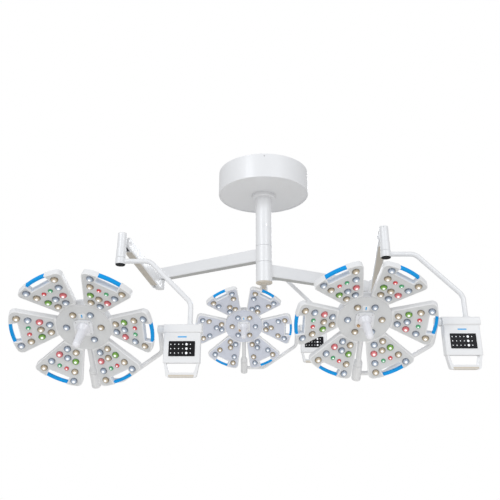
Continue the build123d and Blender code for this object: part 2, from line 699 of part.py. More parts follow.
def make_head_stem(arm):
    """Shaft, cone and stem: the lamp turns about it in the yoke's joint."""
    s = arm.size
    stem = arm.stem
    joint_top = STEM_JOINT_SPAN[1] * s + SEAM
    rim = -(HEAD_HUB_RADIUS - 2 * HEAD_HUB_WALL) * arm.head_size
    with BuildPart() as head_stem:
        with BuildSketch(at(stem, z=joint_top)):
            Circle(TILT_SHAFT_RADIUS)
        extrude(amount=-STEM_SHAFT_LENGTH)
        with BuildSketch(side_of(stem)):
            with BuildLine():
                Polyline((0, joint_top), (STEM_JOINT_RADIUS * s, joint_top),
                         (STEM_JOINT_RADIUS * s, joint_top + STEM_CONE_FOOT * s),
                         (STEM_RADIUS * s, STEM_CONE_TOP * s), (STEM_RADIUS * s, rim), (0, rim),
                         close=True)
            make_face()
        revolve(axis=axis_of(stem))
    save(head_stem.part, f"{arm.name}_head_stem")


def make_lamp_hub(arm):
    """Round housing at the lamp's middle, with the plate and post that carry the handle."""
    k = arm.head_size
    head = arm.head
    radius = HEAD_HUB_RADIUS * k
    depth = HEAD_HUB_DEPTH * k
    shoulder = HEAD_HUB_SHOULDER * k
    wall = HEAD_HUB_WALL
    with BuildPart() as lamp_hub:
        with BuildSketch(side_of(head)):
            with BuildLine():
                Polyline((0, 0), (radius, 0), (radius, -shoulder),
                         (radius - (depth - shoulder), -depth), (0, -depth), close=True)
            make_face()
        revolve(axis=axis_of(head))
        with BuildSketch(at(head, z=-wall)):
            Circle(radius - (depth - shoulder) - wall)
        extrude(amount=2 * wall - depth, mode=Mode.SUBTRACT)
        with BuildSketch(head):
            RectangleRounded(MOUNT_PLATE_SIZE * k, MOUNT_PLATE_SIZE * k, MOUNT_PLATE_CORNER * k)
        extrude(amount=MOUNT_PLATE_HEIGHT * k)
        with BuildSketch(at(head, z=-wall)):
            Circle(HANDLE_POST_RADIUS)
        extrude(amount=HANDLE_POST_LENGTH * k + wall)
        with BuildSketch(head):
            with PolarLocations(HUB_LENS_CIRCLE_RADIUS * k, PETAL_COUNT):
                Circle(arm.lens_radius)
        extrude(amount=-wall, mode=Mode.SUBTRACT)
        with BuildSketch(at(arm.stem, z=-radius - 1)):
            Circle(STEM_RADIUS * arm.size)
        extrude(amount=2 * HEAD_HUB_WALL * k + 1, mode=Mode.SUBTRACT)
    save(lamp_hub.part, f"{arm.name}_lamp_hub")


def petal_x(radius):
    """Distance along a petal's sloping face of a point at a radius from the lamp's axis."""
    return (radius - HEAD_HUB_RADIUS) / cos(radians(PETAL_SLOPE))


def petal_outline(arm, inset, inner):
    """A petal seen square to its face, drawn in from its edge, with the notch for its grip."""
    k = arm.head_size
    centre = -HEAD_HUB_RADIUS * k
    radius = (HEAD_HUB_RADIUS + petal_x(HEAD_RADIUS)) * k - inset
    slant = radians(PETAL_HALF_ANGLE)

    def edge_point(reach):
        along = centre + reach * cos(slant) + inset * sin(slant)
        return along, reach * sin(slant) - inset * cos(slant)

    outer_x, outer_y = edge_point(sqrt(radius**2 - inset**2))
    inner_y = edge_point((inner - centre - inset * sin(slant)) / cos(slant))[1]
    with BuildSketch(mode=Mode.PRIVATE) as outline:
        with BuildLine():
            Line((inner, -inner_y), (outer_x, -outer_y))
            ThreePointArc((outer_x, -outer_y), (centre + radius, 0), (outer_x, outer_y))
            Polyline((outer_x, outer_y), (inner, inner_y), (inner, -inner_y))
        make_face()
        corners = outline.vertices().filter_by_position(Axis.X, outer_x - 1, outer_x + 1)
        fillet(corners, PETAL_CORNER * k - inset)
        with Locations((petal_x(SLOT_INNER_RADIUS) * k - inset, 0)):
            Rectangle(HEAD_RADIUS, arm.slot_length + 2 * inset, align=(Align.MIN, Align.CENTER),
                      mode=Mode.SUBTRACT)
    return outline.sketch_local


def petal_plane(k):
    """The front face of a petal that points along x, in the lamp's own frame."""
    return at(Plane.XY, x=HEAD_HUB_RADIUS * k, turn=(0, -PETAL_SLOPE, 0))


def place_petals(arm, petal):
    """Six copies of a petal's piece round the lamp."""
    with PolarLocations(0, PETAL_COUNT):
        add(petal)


def lens_sketch(arm):
    """The lens circles of one petal."""
    k = arm.head_size
    for radius, offset in arm.lenses:
        with Locations((petal_x(radius) * k, offset * k)):
            Circle(arm.lens_radius)
    for radius, offset in arm.small_lenses:
        with Locations((petal_x(radius) * k, offset * k)):
            Circle(SMALL_LENS_RADIUS)


def make_petal_shells(arm):
    """Six open trays that carry the LED boards, bevelled at the front and back edges."""
    k = arm.head_size
    face = petal_plane(k)
    depth = PETAL_DEPTH * k
    with BuildPart() as petal:
        with BuildSketch(at(face, z=-PETAL_FRONT_BEVEL)):
            add(petal_outline(arm, 0, -PETAL_TAIL))
        extrude(amount=PETAL_FRONT_BEVEL + PETAL_BACK_BEVEL - depth)
        with BuildSketch(at(face, z=-PETAL_FRONT_BEVEL)):
            add(petal_outline(arm, 0, -PETAL_TAIL))
        extrude(amount=PETAL_FRONT_BEVEL, taper=45)
        with BuildSketch(at(face, z=PETAL_BACK_BEVEL - depth, turn=(180, 0, 0))):
            add(petal_outline(arm, 0, -PETAL_TAIL))
        extrude(amount=PETAL_BACK_BEVEL, taper=45)
        with BuildSketch():
            Circle(HEAD_HUB_RADIUS * k)
        extrude(amount=2 * depth, both=True, mode=Mode.SUBTRACT)
        with BuildSketch(face):
            add(petal_outline(arm, PETAL_WALL, PETAL_WALL))
        extrude(amount=PETAL_WALL - depth, mode=Mode.SUBTRACT)
    with BuildPart(arm.head) as petal_shells:
        place_petals(arm, petal.part)
    save(petal_shells.part, f"{arm.name}_petal_shells")


def make_petal_covers(arm):
    """Front plates of the petals, with a hole for each lens."""
    k = arm.head_size
    face = petal_plane(k)
    with BuildPart() as cover:
        with BuildSketch(at(face, z=-COVER_SET_BACK)) as plate:
            add(petal_outline(arm, PETAL_WALL, PETAL_WALL))
            with BuildSketch(mode=Mode.PRIVATE) as lenses:
                lens_sketch(arm)
            add(lenses.sketch_local, mode=Mode.SUBTRACT)
        extrude(amount=-COVER_THICKNESS)
    with BuildPart(arm.head) as petal_covers:
        place_petals(arm, cover.part)
    save(petal_covers.part, f"{arm.name}_petal_covers")


def make_lenses(arm):
    """LED lenses: on every petal, and in a ring on the hub."""
    k = arm.head_size
    face = petal_plane(k)
    floor = PETAL_WALL - PETAL_DEPTH * k
    with BuildPart() as petal_lenses:
        with BuildSketch(at(face, z=floor)):
            lens_sketch(arm)
        extrude(amount=LENS_PROUD - COVER_SET_BACK - floor)
    with BuildPart(arm.head) as lenses:
        place_petals(arm, petal_lenses.part)
        with BuildSketch(at(arm.head, z=-HEAD_HUB_WALL)):
            with PolarLocations(HUB_LENS_CIRCLE_RADIUS * k, PETAL_COUNT):
                Circle(arm.lens_radius)
        extrude(amount=HEAD_HUB_WALL + LENS_PROUD)
    save(lenses.part, f"{arm.name}_lenses")


def make_grips(arm):
    """Curved bars across the petals' outer notches, for moving the lamp by hand."""
    k = arm.head_size
    face = petal_plane(k)
    outer = (HEAD_HUB_RADIUS + petal_x(HEAD_RADIUS)) * k
    with BuildPart() as grip:
        with BuildSketch(at(face, z=-(PETAL_DEPTH - GRIP_DEPTH) * k / 2)):
            with Locations((-HEAD_HUB_RADIUS * k, 0)):
                Circle(outer)
                Circle(outer - GRIP_WIDTH * k, mode=Mode.SUBTRACT)
            with Locations((outer - HEAD_HUB_RADIUS * k, 0)):
                Rectangle(HEAD_RADIUS * k / 2, arm.slot_length, mode=Mode.INTERSECT)
        extrude(amount=-GRIP_DEPTH * k)
        fillet(grip.edges().filter_by(GeomType.CIRCLE), GRIP_EDGE * k)
    with BuildPart(arm.head) as grips:
        place_petals(arm, grip.part)
    save(grips.part, f"{arm.name}_grips")


def make_handle(arm):
    """Sterile handle that turns on the lamp's post to focus the beam, and pulls off."""
    k = arm.head_size
    foot = MOUNT_PLATE_HEIGHT * k + SEAM
    flange = HANDLE_FLANGE_RADIUS * k
    tip = HANDLE_TIP_RADIUS * k
    length = HANDLE_LENGTH * k
    with BuildPart() as handle:
        with BuildSketch(side_of(arm.head)):
            with BuildLine():
                Polyline((0, foot), (flange, foot), (flange, foot + HANDLE_FLANGE_HEIGHT * k),
                         (HANDLE_NECK_RADIUS * k, foot + HANDLE_NECK_HEIGHT * k),
                         (tip, length - tip))
                RadiusArc((tip, length - tip), (0, length), -tip)
                Line((0, length), (0, foot))
            make_face()
        revolve(axis=axis_of(arm.head))
        with BuildSketch(arm.head):
            Circle(HANDLE_BORE_RADIUS)
        extrude(amount=HANDLE_POST_LENGTH * k + SEAM, mode=Mode.SUBTRACT)
    save(handle.part, f"{arm.name}_handle")


# ---- the whole light ------------------------------------------------------------------
os.makedirs("parts", exist_ok=True)

for make in (make_ceiling_plate, make_canopy, make_power_supplies, make_drop_tube,
             make_column_fasteners, make_tube_collar, make_spindle, make_hub_bearings,
             make_bottom_cap):
    make()

for arm in ARMS:
    for make in (make_extension_arm, make_elbow_knuckle, make_spring_arm, make_gas_spring,
                 make_end_hub, make_hub_cap, make_suspension_tube, make_control_box, make_keypad,
                 make_lamp_yoke, make_head_stem, make_lamp_hub, make_petal_shells,
                 make_petal_covers, make_lenses, make_grips, make_handle):
        make(arm)
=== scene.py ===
# %% [markdown]
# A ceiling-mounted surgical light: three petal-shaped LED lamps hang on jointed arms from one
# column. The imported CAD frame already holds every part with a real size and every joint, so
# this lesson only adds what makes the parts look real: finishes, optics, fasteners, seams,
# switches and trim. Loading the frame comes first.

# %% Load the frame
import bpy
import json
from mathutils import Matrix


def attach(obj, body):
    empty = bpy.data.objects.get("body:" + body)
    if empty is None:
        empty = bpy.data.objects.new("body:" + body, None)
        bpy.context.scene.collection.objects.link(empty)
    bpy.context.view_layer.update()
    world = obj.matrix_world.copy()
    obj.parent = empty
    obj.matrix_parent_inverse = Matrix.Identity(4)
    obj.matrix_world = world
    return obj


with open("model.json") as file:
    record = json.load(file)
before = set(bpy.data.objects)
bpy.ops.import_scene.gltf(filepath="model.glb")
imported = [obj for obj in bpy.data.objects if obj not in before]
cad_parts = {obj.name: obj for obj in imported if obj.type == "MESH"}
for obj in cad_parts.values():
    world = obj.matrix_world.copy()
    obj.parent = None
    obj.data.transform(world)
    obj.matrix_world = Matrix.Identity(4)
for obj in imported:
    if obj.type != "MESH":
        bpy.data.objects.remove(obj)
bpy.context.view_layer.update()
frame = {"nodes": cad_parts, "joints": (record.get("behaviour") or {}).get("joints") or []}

# %% [markdown]
# Blender works in metres and this lesson thinks in millimetres, so lengths are multiplied by MM.
# A piece could be placed by eye, but each one here is placed from a joint, so it stays right
# when the frame changes.

# %% Names and units
import json
from collections import namedtuple
from math import cos, pi, radians, sin

import bmesh
import bpy
from mathutils import Matrix, Vector

MM = 0.001
X, Y, Z = Vector((1, 0, 0)), Vector((0, 1, 0)), Vector((0, 0, 1))
JOINTS = {joint["name"]: joint for joint in frame["joints"]}
NODES = frame["nodes"]

# %% [markdown]
# The two large lamps and the small one share a design at different sizes. Each arm keeps the
# few measures that its trim needs, in millimetres, so one function can dress all three. Its
# control box and its lamp head each have a scale of their own.

# %% The three arms
Arm = namedtuple("Arm", "name box head beam_drop beam_width beam_height spring_width spring_height "
                        "lens_radius")
ARMS = (
    Arm("left", box=1, head=1, beam_drop=36, beam_width=56, beam_height=72, spring_width=50,
        spring_height=64, lens_radius=19),
    Arm("right", box=1, head=1, beam_drop=36, beam_width=56, beam_height=72, spring_width=50,
        spring_height=64, lens_radius=19),
    Arm("small", box=0.85, head=0.8, beam_drop=60, beam_width=48, beam_height=60, spring_width=46,
        spring_height=52, lens_radius=17),
)
print("arms:", [arm.name for arm in ARMS])

# %% [markdown]
# Every joint knows where it is and which way its axis points. A local frame built on a joint
# lets a screw or a cap be described where it sits, as a maker would, and carried into place.


# %% Places and directions
def joint_place(name):
    return Vector(JOINTS[name]["pos_m"])


def joint_axis(name):
    return Vector(JOINTS[name]["axis"]).normalized()


def frame_at(origin, across, out):
    """A local frame as a matrix: x goes across, z goes out of the surface."""
    up = out.cross(across)
    turn = Matrix((across, up, out)).transposed()
    return Matrix.Translation(origin) @ turn.to_4x4()


def shifted(matrix, x=0, y=0, z=0):
    """The same frame moved along its own axes, in millimetres."""
    return matrix @ Matrix.Translation(Vector((x, y, z)) * MM)


print(len(JOINTS), "joints to build on")

# %% [markdown]
# Shader maths reads best as arithmetic. A Wire stands for one socket, and adding or multiplying
# wires adds the Math node that does it. A Finish is a material being wired up. Its one method,
# node, adds any other node: settings come first, then the values or wires of its sockets.


# %% Wires and finishes
class Wire:
    """A socket that can be used in Python arithmetic."""

    def __init__(self, finish, socket):
        self.finish, self.socket = finish, socket

    def _math(self, operation, *values):
        return self.finish.node("ShaderNodeMath", {"operation": operation}, dict(enumerate(values)))

    def __add__(self, other):
        return self._math("ADD", self, other)

    def __sub__(self, other):
        return self._math("SUBTRACT", self, other)

    def __rsub__(self, other):
        return self._math("SUBTRACT", other, self)

    def __mul__(self, other):
        return self._math("MULTIPLY", self, other)

    def __gt__(self, other):
        return self._math("GREATER_THAN", self, other)

    def __lt__(self, other):
        return self._math("LESS_THAN", self, other)

    __radd__, __rmul__ = __add__, __mul__


class Finish:
    """A material under construction, with its principled shader's plain values set at once."""

    def __init__(self, name, **values):
        self.material = bpy.data.materials.new(name)
        self.material.use_nodes = True
        self.tree = self.material.node_tree
        self.shader = self.tree.nodes["Principled BSDF"]
        for socket, value in values.items():
            self.set(socket.replace("_", " ").title(), value)

    def set(self, socket, value):
        self.plug(self.shader.inputs[socket], value)

    def plug(self, socket, value):
        if isinstance(value, Wire):
            self.tree.links.new(value.socket, socket)
        elif socket.type == "RGBA" and len(value) == 3:
            socket.default_value = (*value, 1)
        else:
            socket.default_value = value

    def node(self, kind, settings=None, values=None, output=0):
        made = self.tree.nodes.new(kind)
        for name, value in (settings or {}).items():
            setattr(made, name, value)
        for name, value in (values or {}).items():
            self.plug(made.inputs[name], value)
        return Wire(self, made.outputs[output])

    def place(self):
        return self.node("ShaderNodeTexCoord", output="Object")

    def noise(self, scale, detail=2.0, stretch=(1, 1, 1)):
        place = self.node("ShaderNodeMapping", {}, {"Vector": self.place(), "Scale": stretch})
        return self.node("ShaderNodeTexNoise", {},
                         {"Vector": place, "Scale": scale, "Detail": detail}, "Fac")

    def blend(self, share, first, second):
        """A colour between two colours."""
        made = self.tree.nodes.new("ShaderNodeMix")
        made.data_type = "RGBA"
        for socket, value in ((0, share), (6, first), (7, second)):
            self.plug(made.inputs[socket], value)
        return Wire(self, made.outputs[2])

    def bump(self, height, depth, strength=1.0):
        self.set("Normal", self.node("ShaderNodeBump", {}, {
            "Strength": strength, "Distance": depth * MM, "Height": height}, "Normal"))


print("wires and finishes are ready")

# %% [markdown]
# Powder-coated steel and moulded plastic differ in their grain. The coat has a soft orange peel
# a few millimetres wide under a glossy skin; the moulding has a much finer spark-eroded grain.
# One function makes both, because only the scale, the depth and the gloss change.


# %% Coated and moulded finishes
def tinted(colour, factor):
    return tuple(channel * factor for channel in colour)


def coated(name, colour, roughness, grain, depth, coat=0.0, clouding=0.96):
    """A surface with slow clouding of its colour and gloss, and a fine grain in relief."""
    finish = Finish(name, coat_weight=coat, coat_roughness=0.12)
    cloud = finish.noise(7, 3)
    finish.set("Base Color", finish.blend(cloud, tinted(colour, clouding), colour))
    finish.set("Roughness", roughness + 0.10 * (cloud - 0.5))
    finish.bump(finish.noise(grain, 2), depth)
    return finish


WHITE = (0.85, 0.855, 0.868)
enamel = coated("white_powder_coat", WHITE, 0.36, 420, 0.12, coat=0.25)
moulding = coated("white_moulding", (0.85, 0.853, 0.862), 0.42, 1500, 0.05, coat=0.10)
handle_plastic = coated("sterile_handle_plastic", (0.86, 0.86, 0.90), 0.34, 1800, 0.04, coat=0.3)
cream = coated("cream_moulding", (0.66, 0.60, 0.51), 0.55, 1300, 0.06)
# This grey and this beige are painted shade, laid as sheets on the arms' undersides.
painted_shade_grey = coated("grey_liner", (0.50, 0.50, 0.485), 0.55, 1300, 0.06)
painted_shade_beige = coated("beige_liner", (0.60, 0.555, 0.485), 0.55, 1300, 0.06)
casing = coated("grey_casing", (0.36, 0.37, 0.39), 0.5, 700, 0.08)
black = coated("black_moulding", (0.008, 0.008, 0.009), 0.6, 1300, 0.08, clouding=0.7)
black.set("Specular IOR Level", 0.2)
blue_grip = coated("blue_soft_grip", (0.0, 0.345, 0.84), 0.62, 1700, 0.10, clouding=0.9)
blue_grip.set("Specular IOR Level", 0.22)
print("coated finishes:", len(bpy.data.materials))

# %% [markdown]
# Turned steel shows fine rings where the tool went round. They are made by stretching a noise
# far along one axis, which is cheaper than a wave and never looks too regular.


# %% Steel and brass
def turned_metal(name, colour, roughness):
    finish = Finish(name, metallic=1.0)
    lines = finish.noise(60, 3, stretch=(1, 1, 40))
    finish.set("Base Color", finish.blend(lines, tinted(colour, 0.82), colour))
    finish.set("Roughness", roughness + 0.18 * (lines - 0.5))
    finish.bump(lines, 0.02)
    return finish


steel = turned_metal("turned_steel", (0.62, 0.62, 0.63), 0.32)
brass = turned_metal("brass", (0.72, 0.47, 0.26), 0.3)
print("metals:", steel.material.name, "and", brass.material.name)

# %% [markdown]
# A membrane keypad is a printed plastic foil, black and slightly greasy from gloves. A slow
# noise stands for the smudges: it moves the gloss a lot and the colour hardly at all. The inks
# of its symbols and of the blue bars are thin coats, and the white one glows a little.

# %% Foil and inks
keypad_foil = Finish("keypad_foil", coat_weight=0.05, coat_roughness=0.2)
keypad_foil.set("Specular IOR Level", 0.16)
smudge = keypad_foil.noise(30, 3)
keypad_foil.set("Base Color",
                keypad_foil.blend(smudge, (0.004, 0.004, 0.005), (0.012, 0.012, 0.014)))
keypad_foil.set("Roughness", 0.30 + 0.25 * smudge)
keypad_foil.bump(keypad_foil.noise(900, 1), 0.02)

icon_ink = coated("icon_ink", (0.86, 0.88, 0.90), 0.5, 1500, 0.02)
icon_ink.set("Emission Color", (1, 1, 1))
icon_ink.set("Emission Strength", 0.25)
mark_ink = coated("mark_ink", (0.03, 0.42, 0.85), 0.4, 1500, 0.02)
print("foil and inks:", keypad_foil.material.name, icon_ink.material.name, mark_ink.material.name)

# %% [markdown]
# The front plates are a cool light grey, satin so that they never dazzle. On a lamp's hub the
# grey is only the front face: the rim behind it and the handle's square plate stay white. The
# finish measures how far a point lies along the lamp's own axis and turns grey near the face.


# %% Front plates
def front_frame(arm):
    """At the lamp's centre: x across, y up the face, z the way the light goes."""
    handle = f"{arm.name}_handle_turn"
    return frame_at(joint_place(handle), X, joint_axis(handle))


FRONT_GREY = {"left": (0.70, 0.71, 0.72), "right": (0.70, 0.71, 0.72), "small": (0.66, 0.69, 0.78)}
HUB_WHITE = (0.83, 0.84, 0.865)
FACE_REACH = 0.6 * MM


def hub_finish(arm):
    finish = Finish(f"{arm.name}_hub_finish", coat_weight=0.1, coat_roughness=0.12)
    axis = joint_axis(f"{arm.name}_handle_turn")
    level = finish.node("ShaderNodeVectorMath", {"operation": "DOT_PRODUCT"},
                        {0: finish.place(), 1: axis}, "Value")
    height = level - axis.dot(joint_place(f"{arm.name}_handle_turn"))
    face = (height > -FACE_REACH) * (height < FACE_REACH)
    cloud = finish.noise(9, 3)
    grey = finish.blend(cloud, tinted(FRONT_GREY[arm.name], 0.97), FRONT_GREY[arm.name])
    finish.set("Base Color", finish.blend(face, HUB_WHITE, grey))
    finish.set("Roughness", 0.42 + 0.08 * cloud)
    finish.bump(finish.noise(1500, 2), 0.05)
    return finish


cover_finish = {name: coated(f"{name}_front_plate", grey, 0.46, 1500, 0.05, clouding=0.97)
                for name, grey in FRONT_GREY.items()}
print("front plates:", sorted(cover_finish))

# %% [markdown]
# Each CAD part now takes its finish. Its mesh and place are never touched: only the material in
# its slot changes.

# %% Dress the CAD parts
ROOT_FINISH = {
    "ceiling_plate": steel, "canopy": enamel, "power_supplies": casing, "drop_tube": enamel,
    "column_fasteners": steel, "tube_collar": enamel, "spindle": steel, "hub_bearings": steel,
    "bottom_cap": cream,
}
ARM_FINISH = {
    "extension_arm": enamel, "elbow_knuckle": enamel, "spring_arm": enamel, "gas_spring": steel,
    "end_hub": enamel, "hub_cap": black, "suspension_tube": enamel, "control_box": moulding,
    "keypad": keypad_foil, "lamp_yoke": enamel, "head_stem": enamel, "petal_shells": moulding,
    "grips": blue_grip, "handle": handle_plastic,
}
lens_body = Finish("lens_body", base_color=(0.66, 0.68, 0.72), roughness=0.16, coat_weight=0.5)
lens_body.bump(lens_body.noise(500, 1), 0.03)


def dress(node, finish):
    for slot in NODES[node].material_slots:
        slot.material = finish.material


for node, finish in ROOT_FINISH.items():
    dress(node, finish)
for arm in ARMS:
    for part, finish in ARM_FINISH.items():
        dress(f"{arm.name}_{part}", finish)
    dress(f"{arm.name}_petal_covers", cover_finish[arm.name])
    dress(f"{arm.name}_lamp_hub", hub_finish(arm))
    dress(f"{arm.name}_lenses", lens_body)
print("dressed", len(NODES), "parts")

# %% [markdown]
# New pieces come from three small makers. Round ones are turned: a profile is spun round its
# axis, as on a lathe. Flat ones are rounded plates with a broken edge. Both are built in their
# own frame in millimetres, then carried into place by a matrix, so that the object itself stays
# at the origin.

# %% Makers
ROUND_STEPS = 48
CORNER_STEPS = 8
SMOOTH_BELOW = radians(32)


def settle(name, mesh, finish, body, place=Matrix.Identity(4)):
    """A finished mesh becomes a piece that rides on a body."""
    mesh.transform(place)
    mesh.shade_smooth()
    mesh.set_sharp_from_angle(angle=SMOOTH_BELOW)
    if finish is not None:
        mesh.materials.clear()
        mesh.materials.append(finish.material)
    piece = bpy.data.objects.new(name, mesh)
    bpy.context.scene.collection.objects.link(piece)
    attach(piece, body)
    return piece


def turned(profile, steps=ROUND_STEPS):
    """A mesh spun from (radius, height) points; the profile starts and ends on the axis."""
    shape = bmesh.new()
    points = [shape.verts.new(Vector((r, 0, h)) * MM) for r, h in profile]
    edges = [shape.edges.new(pair) for pair in zip(points, points[1:])]
    bmesh.ops.spin(shape, geom=points + edges, axis=Z, cent=(0, 0, 0), angle=2 * pi, steps=steps,
                   use_duplicate=False)
    bmesh.ops.remove_doubles(shape, verts=shape.verts, dist=0.002 * MM)
    bmesh.ops.recalc_face_normals(shape, faces=shape.faces)
    mesh = bpy.data.meshes.new("turned")
    shape.to_mesh(mesh)
    shape.free()
    return mesh


def plate(width, height, thickness, corner, edge):
    """A rounded plate on its frame's xy plane; its front edge is broken by a small bevel."""
    shape = bmesh.new()
    corners = []
    for k in range(4):
        turn = k * pi / 2
        cx = (width / 2 - corner) * (1 if k in (0, 3) else -1)
        cy = (height / 2 - corner) * (1 if k in (0, 1) else -1)
        for step in range(CORNER_STEPS + 1):
            a = turn + step / CORNER_STEPS * pi / 2
            point = Vector((cx + corner * cos(a), cy + corner * sin(a), 0))
            corners.append(shape.verts.new(point * MM))
    base = shape.faces.new(corners)
    raised = bmesh.ops.extrude_face_region(shape, geom=[base])["geom"]
    bmesh.ops.translate(shape, vec=Vector((0, 0, thickness * MM)),
                        verts=[v for v in raised if isinstance(v, bmesh.types.BMVert)])
    front = [e for e in shape.edges if all(v.co.z > thickness * MM / 2 for v in e.verts)]
    bmesh.ops.bevel(shape, geom=front, offset=edge * MM, segments=3, profile=0.5, affect="EDGES")
    bmesh.ops.recalc_face_normals(shape, faces=shape.faces)
    mesh = bpy.data.meshes.new("plate")
    shape.to_mesh(mesh)
    shape.free()
    return mesh


print("turned() and plate() are ready")

# %% [markdown]
# What repeats is made by Geometry Nodes. A tree starts from bare points, each with the direction
# that its copy faces, builds one copy from named sizes, and sets a copy on every point. The
# result is turned into a plain mesh and the modifier is thrown away.


# %% Trees and the points they start from
class Tree:
    """A geometry tree under construction, with named inputs."""

    def __init__(self, name, **inputs):
        self.group = bpy.data.node_groups.new(name, "GeometryNodeTree")
        face = self.group.interface
        face.new_socket("Geometry", in_out="INPUT", socket_type="NodeSocketGeometry")
        for label, kind in inputs.items():
            face.new_socket(label.replace("_", " ").title(), in_out="INPUT", socket_type=kind)
        face.new_socket("Geometry", in_out="OUTPUT", socket_type="NodeSocketGeometry")
        self.inputs = self.group.nodes.new("NodeGroupInput").outputs
        self.output = self.group.nodes.new("NodeGroupOutput").inputs[0]

    def node(self, kind, settings=None, values=None):
        """Adds a node and returns its output sockets."""
        made = self.group.nodes.new(kind)
        for name, value in (settings or {}).items():
            setattr(made, name, value)
        for name, value in (values or {}).items():
            socket = made.inputs[name]
            if isinstance(value, bpy.types.NodeSocket):
                self.group.links.new(value, socket)
            else:
                socket.default_value = value
        return made.outputs

    def math(self, operation, *values):
        return self.node("ShaderNodeMath", {"operation": operation}, dict(enumerate(values)))[0]

    def copies(self, shape):
        """A copy of shape on each point, facing the way the point says, made real at the end."""
        facing = self.node("GeometryNodeInputNamedAttribute", {"data_type": "FLOAT_VECTOR"},
                           {"Name": "facing"})[0]
        turn = self.node("FunctionNodeAlignRotationToVector", {"axis": "Z"}, {"Vector": facing})[0]
        placed = self.node("GeometryNodeInstanceOnPoints", {}, {
            "Points": self.inputs["Geometry"], "Instance": shape, "Rotation": turn})[0]
        self.close(placed)

    def close(self, geometry):
        real = self.node("GeometryNodeRealizeInstances", {}, {"Geometry": geometry})[0]
        painted = self.node("GeometryNodeSetMaterial", {}, {
            "Geometry": real, "Material": self.inputs["Material"]})[0]
        self.group.links.new(painted, self.output)


LENGTH, WHOLE, PAINT = "NodeSocketFloat", "NodeSocketInt", "NodeSocketMaterial"


def grown(tree, places, **sizes):
    """The mesh that a tree grows from (position, facing) pairs given in millimetres."""
    mesh = bpy.data.meshes.new("places")
    mesh.from_pydata([Vector(at) * MM for at, _ in places], [], [])
    facing = mesh.attributes.new("facing", "FLOAT_VECTOR", "POINT")
    for item, (_, way) in zip(facing.data, places):
        item.vector = way
    seed = bpy.data.objects.new("places", mesh)
    bpy.context.scene.collection.objects.link(seed)
    modifier = seed.modifiers.new("grow", "NODES")
    modifier.node_group = tree.group
    for socket in tree.group.interface.items_tree:
        label = socket.name.lower().replace(" ", "_")
        if label in sizes and socket.in_out == "INPUT":
            modifier[socket.identifier] = sizes[label]
    bpy.context.view_layer.update()
    evaluated = seed.evaluated_get(bpy.context.evaluated_depsgraph_get())
    result = bpy.data.meshes.new_from_object(evaluated)
    seed.modifiers.remove(modifier)
    bpy.data.objects.remove(seed)
    return result


print("trees can grow")

# %% [markdown]
# An LED's lens is a clear faceted dome over its die. Its finish paints a darker rim as painted
# shade, a tinted body, and a white centre as a painted highlight. The tree raises a many-sided
# disc in narrowing steps, which gives the facets, and stores on each point how near the centre it
# is, for the finish to read.

# %% The lens tree
# Each step raises the top by a share of the radius, then narrows it to a share of its width.
LENS_STEPS = ((0.10, 0.97), (0.18, 0.86), (0.16, 0.72), (0.09, 0.60), (0.03, 0.70), (0.05, 0.5))

lens_tree = Tree("faceted_lens", radius=LENGTH, facets=WHOLE, material=PAINT)
disc = lens_tree.node("GeometryNodeMeshCylinder", {}, {
    "Vertices": lens_tree.inputs["Facets"], "Radius": lens_tree.inputs["Radius"], "Depth": 2 * MM})
dome, top = disc[0], disc[1]
for rise, narrowing in LENS_STEPS:
    raised = lens_tree.node("GeometryNodeExtrudeMesh", {"mode": "FACES"}, {
        "Mesh": dome, "Selection": top,
        "Offset Scale": lens_tree.math("MULTIPLY", lens_tree.inputs["Radius"], rise)})
    dome = lens_tree.node("GeometryNodeScaleElements", {"domain": "FACE"}, {
        "Geometry": raised[0], "Selection": raised[1], "Scale": narrowing})[0]
    top = raised[1]
spot = lens_tree.node("ShaderNodeSeparateXYZ", {}, {
    "Vector": lens_tree.node("GeometryNodeInputPosition")[0]})
squares = [lens_tree.math("MULTIPLY", spot[axis], spot[axis]) for axis in (0, 1)]
reach = lens_tree.math("SQRT", lens_tree.math("ADD", *squares))
share = lens_tree.math("DIVIDE", reach, lens_tree.inputs["Radius"])
nearness = lens_tree.math("SUBTRACT", 1.0, share)
dome = lens_tree.node("GeometryNodeStoreNamedAttribute", {"data_type": "FLOAT", "domain": "POINT"}, {
    "Geometry": dome, "Name": "nearness", "Value": nearness})[0]
lens_tree.copies(dome)
print("lens tree with", len(LENS_STEPS), "steps")

# %% [markdown]
# The lens finish turns that nearness into colour: a dark rim that is painted shade, the tinted
# body, then a white centre that is a painted highlight with a faint painted glow. Six tints are
# enough: four for the large lenses and two for the small markers between them.

# %% Lens finishes
# The first ramp fades the painted shade of the rim into the tint; the second brings in the painted
# highlight at the centre.
BODY_STARTS, BODY_ENDS = 0.04, 0.42
PAINTED_HIGHLIGHT_STARTS, PAINTED_HIGHLIGHT_ENDS = 0.56, 0.76
PAINTED_HIGHLIGHT_WHITE, PAINTED_HIGHLIGHT_GLOW = (0.92, 0.93, 0.95), (0.40, 0.40, 0.40)


# rim is the dark colour painted at the lens's edge as shade; the white centre and its glow are a
# painted highlight.
def lens_finish(name, tint, rim):
    finish = Finish(name, coat_weight=1.0, coat_roughness=0.04)
    near = finish.node("ShaderNodeAttribute", {"attribute_name": "nearness"}, {}, "Fac")
    inside = finish.node("ShaderNodeMapRange", {}, {
        "Value": near, "From Min": BODY_STARTS, "From Max": BODY_ENDS})
    body = finish.blend(inside, rim, tint)
    painted_highlight = finish.node("ShaderNodeMapRange", {}, {
        "Value": near, "From Min": PAINTED_HIGHLIGHT_STARTS, "From Max": PAINTED_HIGHLIGHT_ENDS})
    finish.set("Base Color", finish.blend(painted_highlight, body, PAINTED_HIGHLIGHT_WHITE))
    finish.set("Roughness", 0.10 + 0.10 * finish.noise(300, 1))
    finish.set("Emission Color", finish.blend(painted_highlight, (0, 0, 0), PAINTED_HIGHLIGHT_GLOW))
    finish.set("Emission Strength", 1.0)
    return finish
